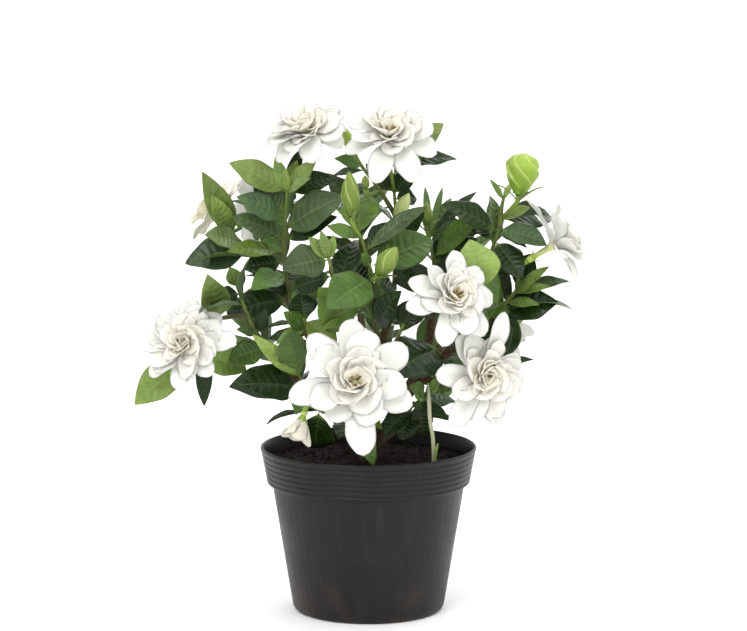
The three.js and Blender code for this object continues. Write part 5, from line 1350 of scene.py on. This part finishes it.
def pot_profile():
    """The pot's wall as [radius, height] rows, up the outside and down the inside."""
    foot, top, rim, high = BODY_FOOT_RADIUS, BODY_TOP_RADIUS, RIM_RADIUS, POT_HEIGHT
    profile = [[0, 0], [20, 0], [40, 0], [foot - FOOT_BEVEL, 0], [foot - 3, 0.6], [foot - 1.5, 2],
               [foot - 0.4, 4], [foot, FOOT_BEVEL]]
    for share in np.linspace(0, 1, 26)[1:]:
        profile.append([foot + (top - foot) * share,
                        FOOT_BEVEL + (BAND_FOOT - 0.8 - FOOT_BEVEL) * share])
    profile += [[top + 0.5, BAND_FOOT - 0.15], [BAND_FOOT_RADIUS - 0.6, BAND_FOOT],
                [BAND_FOOT_RADIUS, BAND_FOOT + 0.5]]
    for share in np.linspace(0, 1, 74)[1:]:
        height = BAND_FOOT + 0.5 + (BAND_HEIGHT - 3.6) * share
        radius = np.interp(height, (BAND_FOOT, high), (BAND_FOOT_RADIUS, rim))
        groove = RIDGE_DEPTH * max(0, -math.cos(2 * math.pi * RIDGES * share)) ** 2
        profile.append([radius - groove, height])
    profile += [[rim - 0.2, high - 2.6], [rim, high - 1.4], [rim - 0.3, high - 0.5], [rim - 1.1, high],
                [rim - RIM_LIP + 0.5, high - 0.2], [rim - RIM_LIP, high - 1]]
    for height in (130, 122, 114, BAND_FOOT + 1, BAND_FOOT - 1, 90, 60, 30, POT_FLOOR + 1):
        profile.append([inner_radius(height), height])
    return profile + [[inner_radius(POT_FLOOR) - 1, POT_FLOOR], [40, POT_FLOOR], [0, POT_FLOOR]]


def flutes(radius, angle, height):
    """Shallow flutes round the outside of the pot's body."""
    wall = np.interp(height, (0, BAND_FOOT), (BODY_FOOT_RADIUS - 1, BODY_TOP_RADIUS - 1))
    body = (height < BAND_FOOT - 1.5) & (height > FOOT_BEVEL - 1)
    outside = body & (radius > BODY_FOOT_RADIUS - 0.5) & (radius > wall)
    return radius - FLUTE_DEPTH * outside * (0.5 + 0.5 * np.cos(FLUTES * angle)), height


def pot():
    piece = Piece()
    turned(piece, pot_profile(), POT_SIDES, POT_TINT, flutes)
    shell = piece.stand("pot_moulded", "pot", "pot_plastic", POT)
    cutter = Piece()
    for i in range(DRAIN_HOLES):
        centre = swung(VIEW_RIGHT, AWAY, 2 * math.pi * i / DRAIN_HOLES) * DRAIN_CIRCLE
        tube(cutter, [centre + UP * height for height in (-2, 1.5, 6)], DRAIN_RADIUS, DRILL_SIDES, (0, 0, 0))
    drill = placed("drill", cutter.mesh("drill", [POT]))
    cut = shell.modifiers.new("drain", "BOOLEAN")
    cut.operation = "DIFFERENCE"
    cut.solver = "EXACT"
    cut.object = drill
    bpy.context.view_layer.update()
    drilled = shell.evaluated_get(bpy.context.evaluated_depsgraph_get())
    drilled = bpy.data.meshes.new_from_object(drilled)
    shell.modifiers.clear()
    shell.data = drilled
    bpy.data.objects.remove(drill)


def lumpy(radius, angle, height):
    """Uneven soil: lumps of three sizes on the points of the top."""
    raised = np.array(height)
    for spot in zip(*np.nonzero(height > SOIL_TOP - 0.5)):
        at = Vector(swung(VIEW_RIGHT, AWAY, angle[spot]) * radius[spot])
        lift = sum(noise.noise(at * scale) * size for scale, size in LUMPS)
        raised[spot] += max(-2.4, min(SOIL_BUMP, lift))
    return radius, raised


def soil():
    piece = Piece()
    wall = inner_radius(SOIL_TOP) - GAP
    rings = [8.4, 10, 12, 15] + [18 + 1.9 * i for i in range(36)]
    rings = [ring for ring in rings if ring < wall - 0.8] + [wall - 0.5]
    floor = POT_FLOOR + GAP
    hole = CROWN_RADIUS + GAP
    hole_foot = SOIL_TOP - CROWN_DEPTH - GAP
    profile = [[0, hole_foot], [hole, hole_foot], [hole, SOIL_TOP - 2],
               *[[ring, SOIL_TOP] for ring in rings], [wall, SOIL_TOP - 2],
               *[[inner_radius(height) - GAP, height] for height in (118, 109, 104, 70, 36, floor + 1)],
               [inner_radius(floor) - 2, floor], [0, floor]]
    turned(piece, profile, SOIL_SIDES, SOIL_TINT, lumpy)
    for _ in range(CRUMBS):
        radius = 12 + (wall - 16) * math.sqrt(shade())
        centre = swung(VIEW_RIGHT, AWAY, 2 * math.pi * shade()) * radius
        size = 0.5 + shade() ** 2
        centre = centre + UP * (SOIL_TOP - 0.1 + 0.4 * shade())
        lean = unit(np.array((shade() - 0.5, shade() - 0.5, 0.5 * shade() + 0.01))) * size
        crumb = [centre - lean * (1 + shade()), centre - lean * 0.4, centre + lean * 0.5,
                 centre + lean * (1 + shade())]
        tint = CRUMB_TINTS[0] if shade() > 0.8 else CRUMB_TINTS[1]
        tube(piece, crumb, (0.3 * size, size * 0.8, size * 0.75, 0.25 * size), CRUMB_SIDES, tint)
    piece.stand("soil_filled", "soil", "potting_soil", SOIL)


def grass():
    piece = Piece()
    for places, width, tints in BLADES:
        route = [seen(place) for place in places]
        route[0][2] = SOIL_TOP - 2
        u, s, face, faces = sheet_grid(40, 7)
        line = np.array([route_point(route, share) for share in u])
        half = width / 2 * np.minimum(1, 3 * (1 - u) + 0.25) * (u < 1)
        above = face * 0.3 * round_edge(u, s) + 0.35 * s * s
        points = line + VIEW_RIGHT * (s * half)[:, None] + TO_VIEWER * above[:, None]
        piece.add(points, faces, (s + 1) / 2, u, graded(tints, u))
    root = seen(DRY_GRASS[0])
    line = [np.array((*root[:2], SOIL_TOP + rise)) for rise in (-5, -1, 2, 4)]
    tube(piece, line, (0.8, 1.3, 1.2, 0.7), GRASS_ROOT_SIDES, GRASS_ROOT_TINT)
    piece.stand("dry_grass_grown", "dry_grass", "grass", GRASS)


# The studio

FLOOR_RADIUS = 30
FLOOR_SIDES = 64
# Each soft sun's direction towards the light, strength and angular width in degrees
SUNS = {
    "key": ((-0.5, -1, 0.9), 1.1, 30), "fill": ((0.8, -0.9, 0.5), 0.75, 70),
    "top": ((0.1, 0.1, 1), 1, 80), "behind": ((0.3, 1, 0.7), 0.9, 60),
}
# The world is white, this bright at the horizon and at this height on its sphere and above
HORIZON_GLOW = 1
HIGH_GLOW = 0.88
GLOW_HEIGHT = 0.35
SENSOR_WIDTH = 36
FAR_LIMIT = 20


def studio_floor():
    look = Look(new_material("floor"))
    mottle = look.noise(3, 2)
    paper = look.mix(mottle.between(0.3, 0.7), srgb(247, 247, 247), srgb(250, 250, 250))
    look.surface(mottle, 0.0005, 0.1, Base_Color=paper, Roughness=mottle.between(0.3, 0.7, 0.75, 0.9))
    rim = [swung(VIEW_RIGHT, AWAY, angle) * FLOOR_RADIUS for angle in ring_angles(FLOOR_SIDES)]
    mesh = bpy.data.meshes.new("floor")
    mesh.from_pydata(rim, [], [range(FLOOR_SIDES)])
    mesh.materials.append(look.owner)
    return placed("floor", mesh)


def sun(name, towards, power, spread):
    light = bpy.data.lights.new(name, "SUN")
    light.energy = power
    light.angle = math.radians(spread)
    lamp = placed(name, light)
    lamp.rotation_euler = Vector(towards).to_track_quat("Z", "Y").to_euler()
    lamp.location = Vector(towards) * 2
    return lamp


def studio():
    studio_floor()
    [sun(name, *row) for name, row in SUNS.items()]
    world = bpy.data.worlds.new("studio")
    sky = Look(world)
    height = sky.split(sky.add("TexCoord", {}))[2]
    glow = sky.add("MapRange", {0: height, 1: 0, 2: GLOW_HEIGHT, 3: HORIZON_GLOW, 4: HIGH_GLOW})
    light = sky.add("Background", {"Color": (1, 1, 1, 1), "Strength": glow})
    sky.add("OutputWorld", {"Surface": light})
    bpy.context.scene.world = world
    bpy.context.scene.view_settings.view_transform = "Standard"


def camera():
    lens = bpy.data.cameras.new("camera")
    lens.sensor_width = SENSOR_WIDTH
    lens.lens = VIEW_FOCAL / VIEW_WIDTH * SENSOR_WIDTH
    lens.clip_end = FAR_LIMIT
    eye = placed("camera", lens)
    eye.location = VIEW_EYE * MM
    eye.rotation_euler = (math.pi / 2 - VIEW_PITCH, 0, 0)
    bpy.context.scene.camera = eye


branches = lay_out()
for branch in branches:
    leafy_stem(branch)
trunk(branches)
for row in BLOOMS:
    bloom(row)
for row in BUDS:
    bud(row)
pot()
soil()
grass()
studio()
camera()
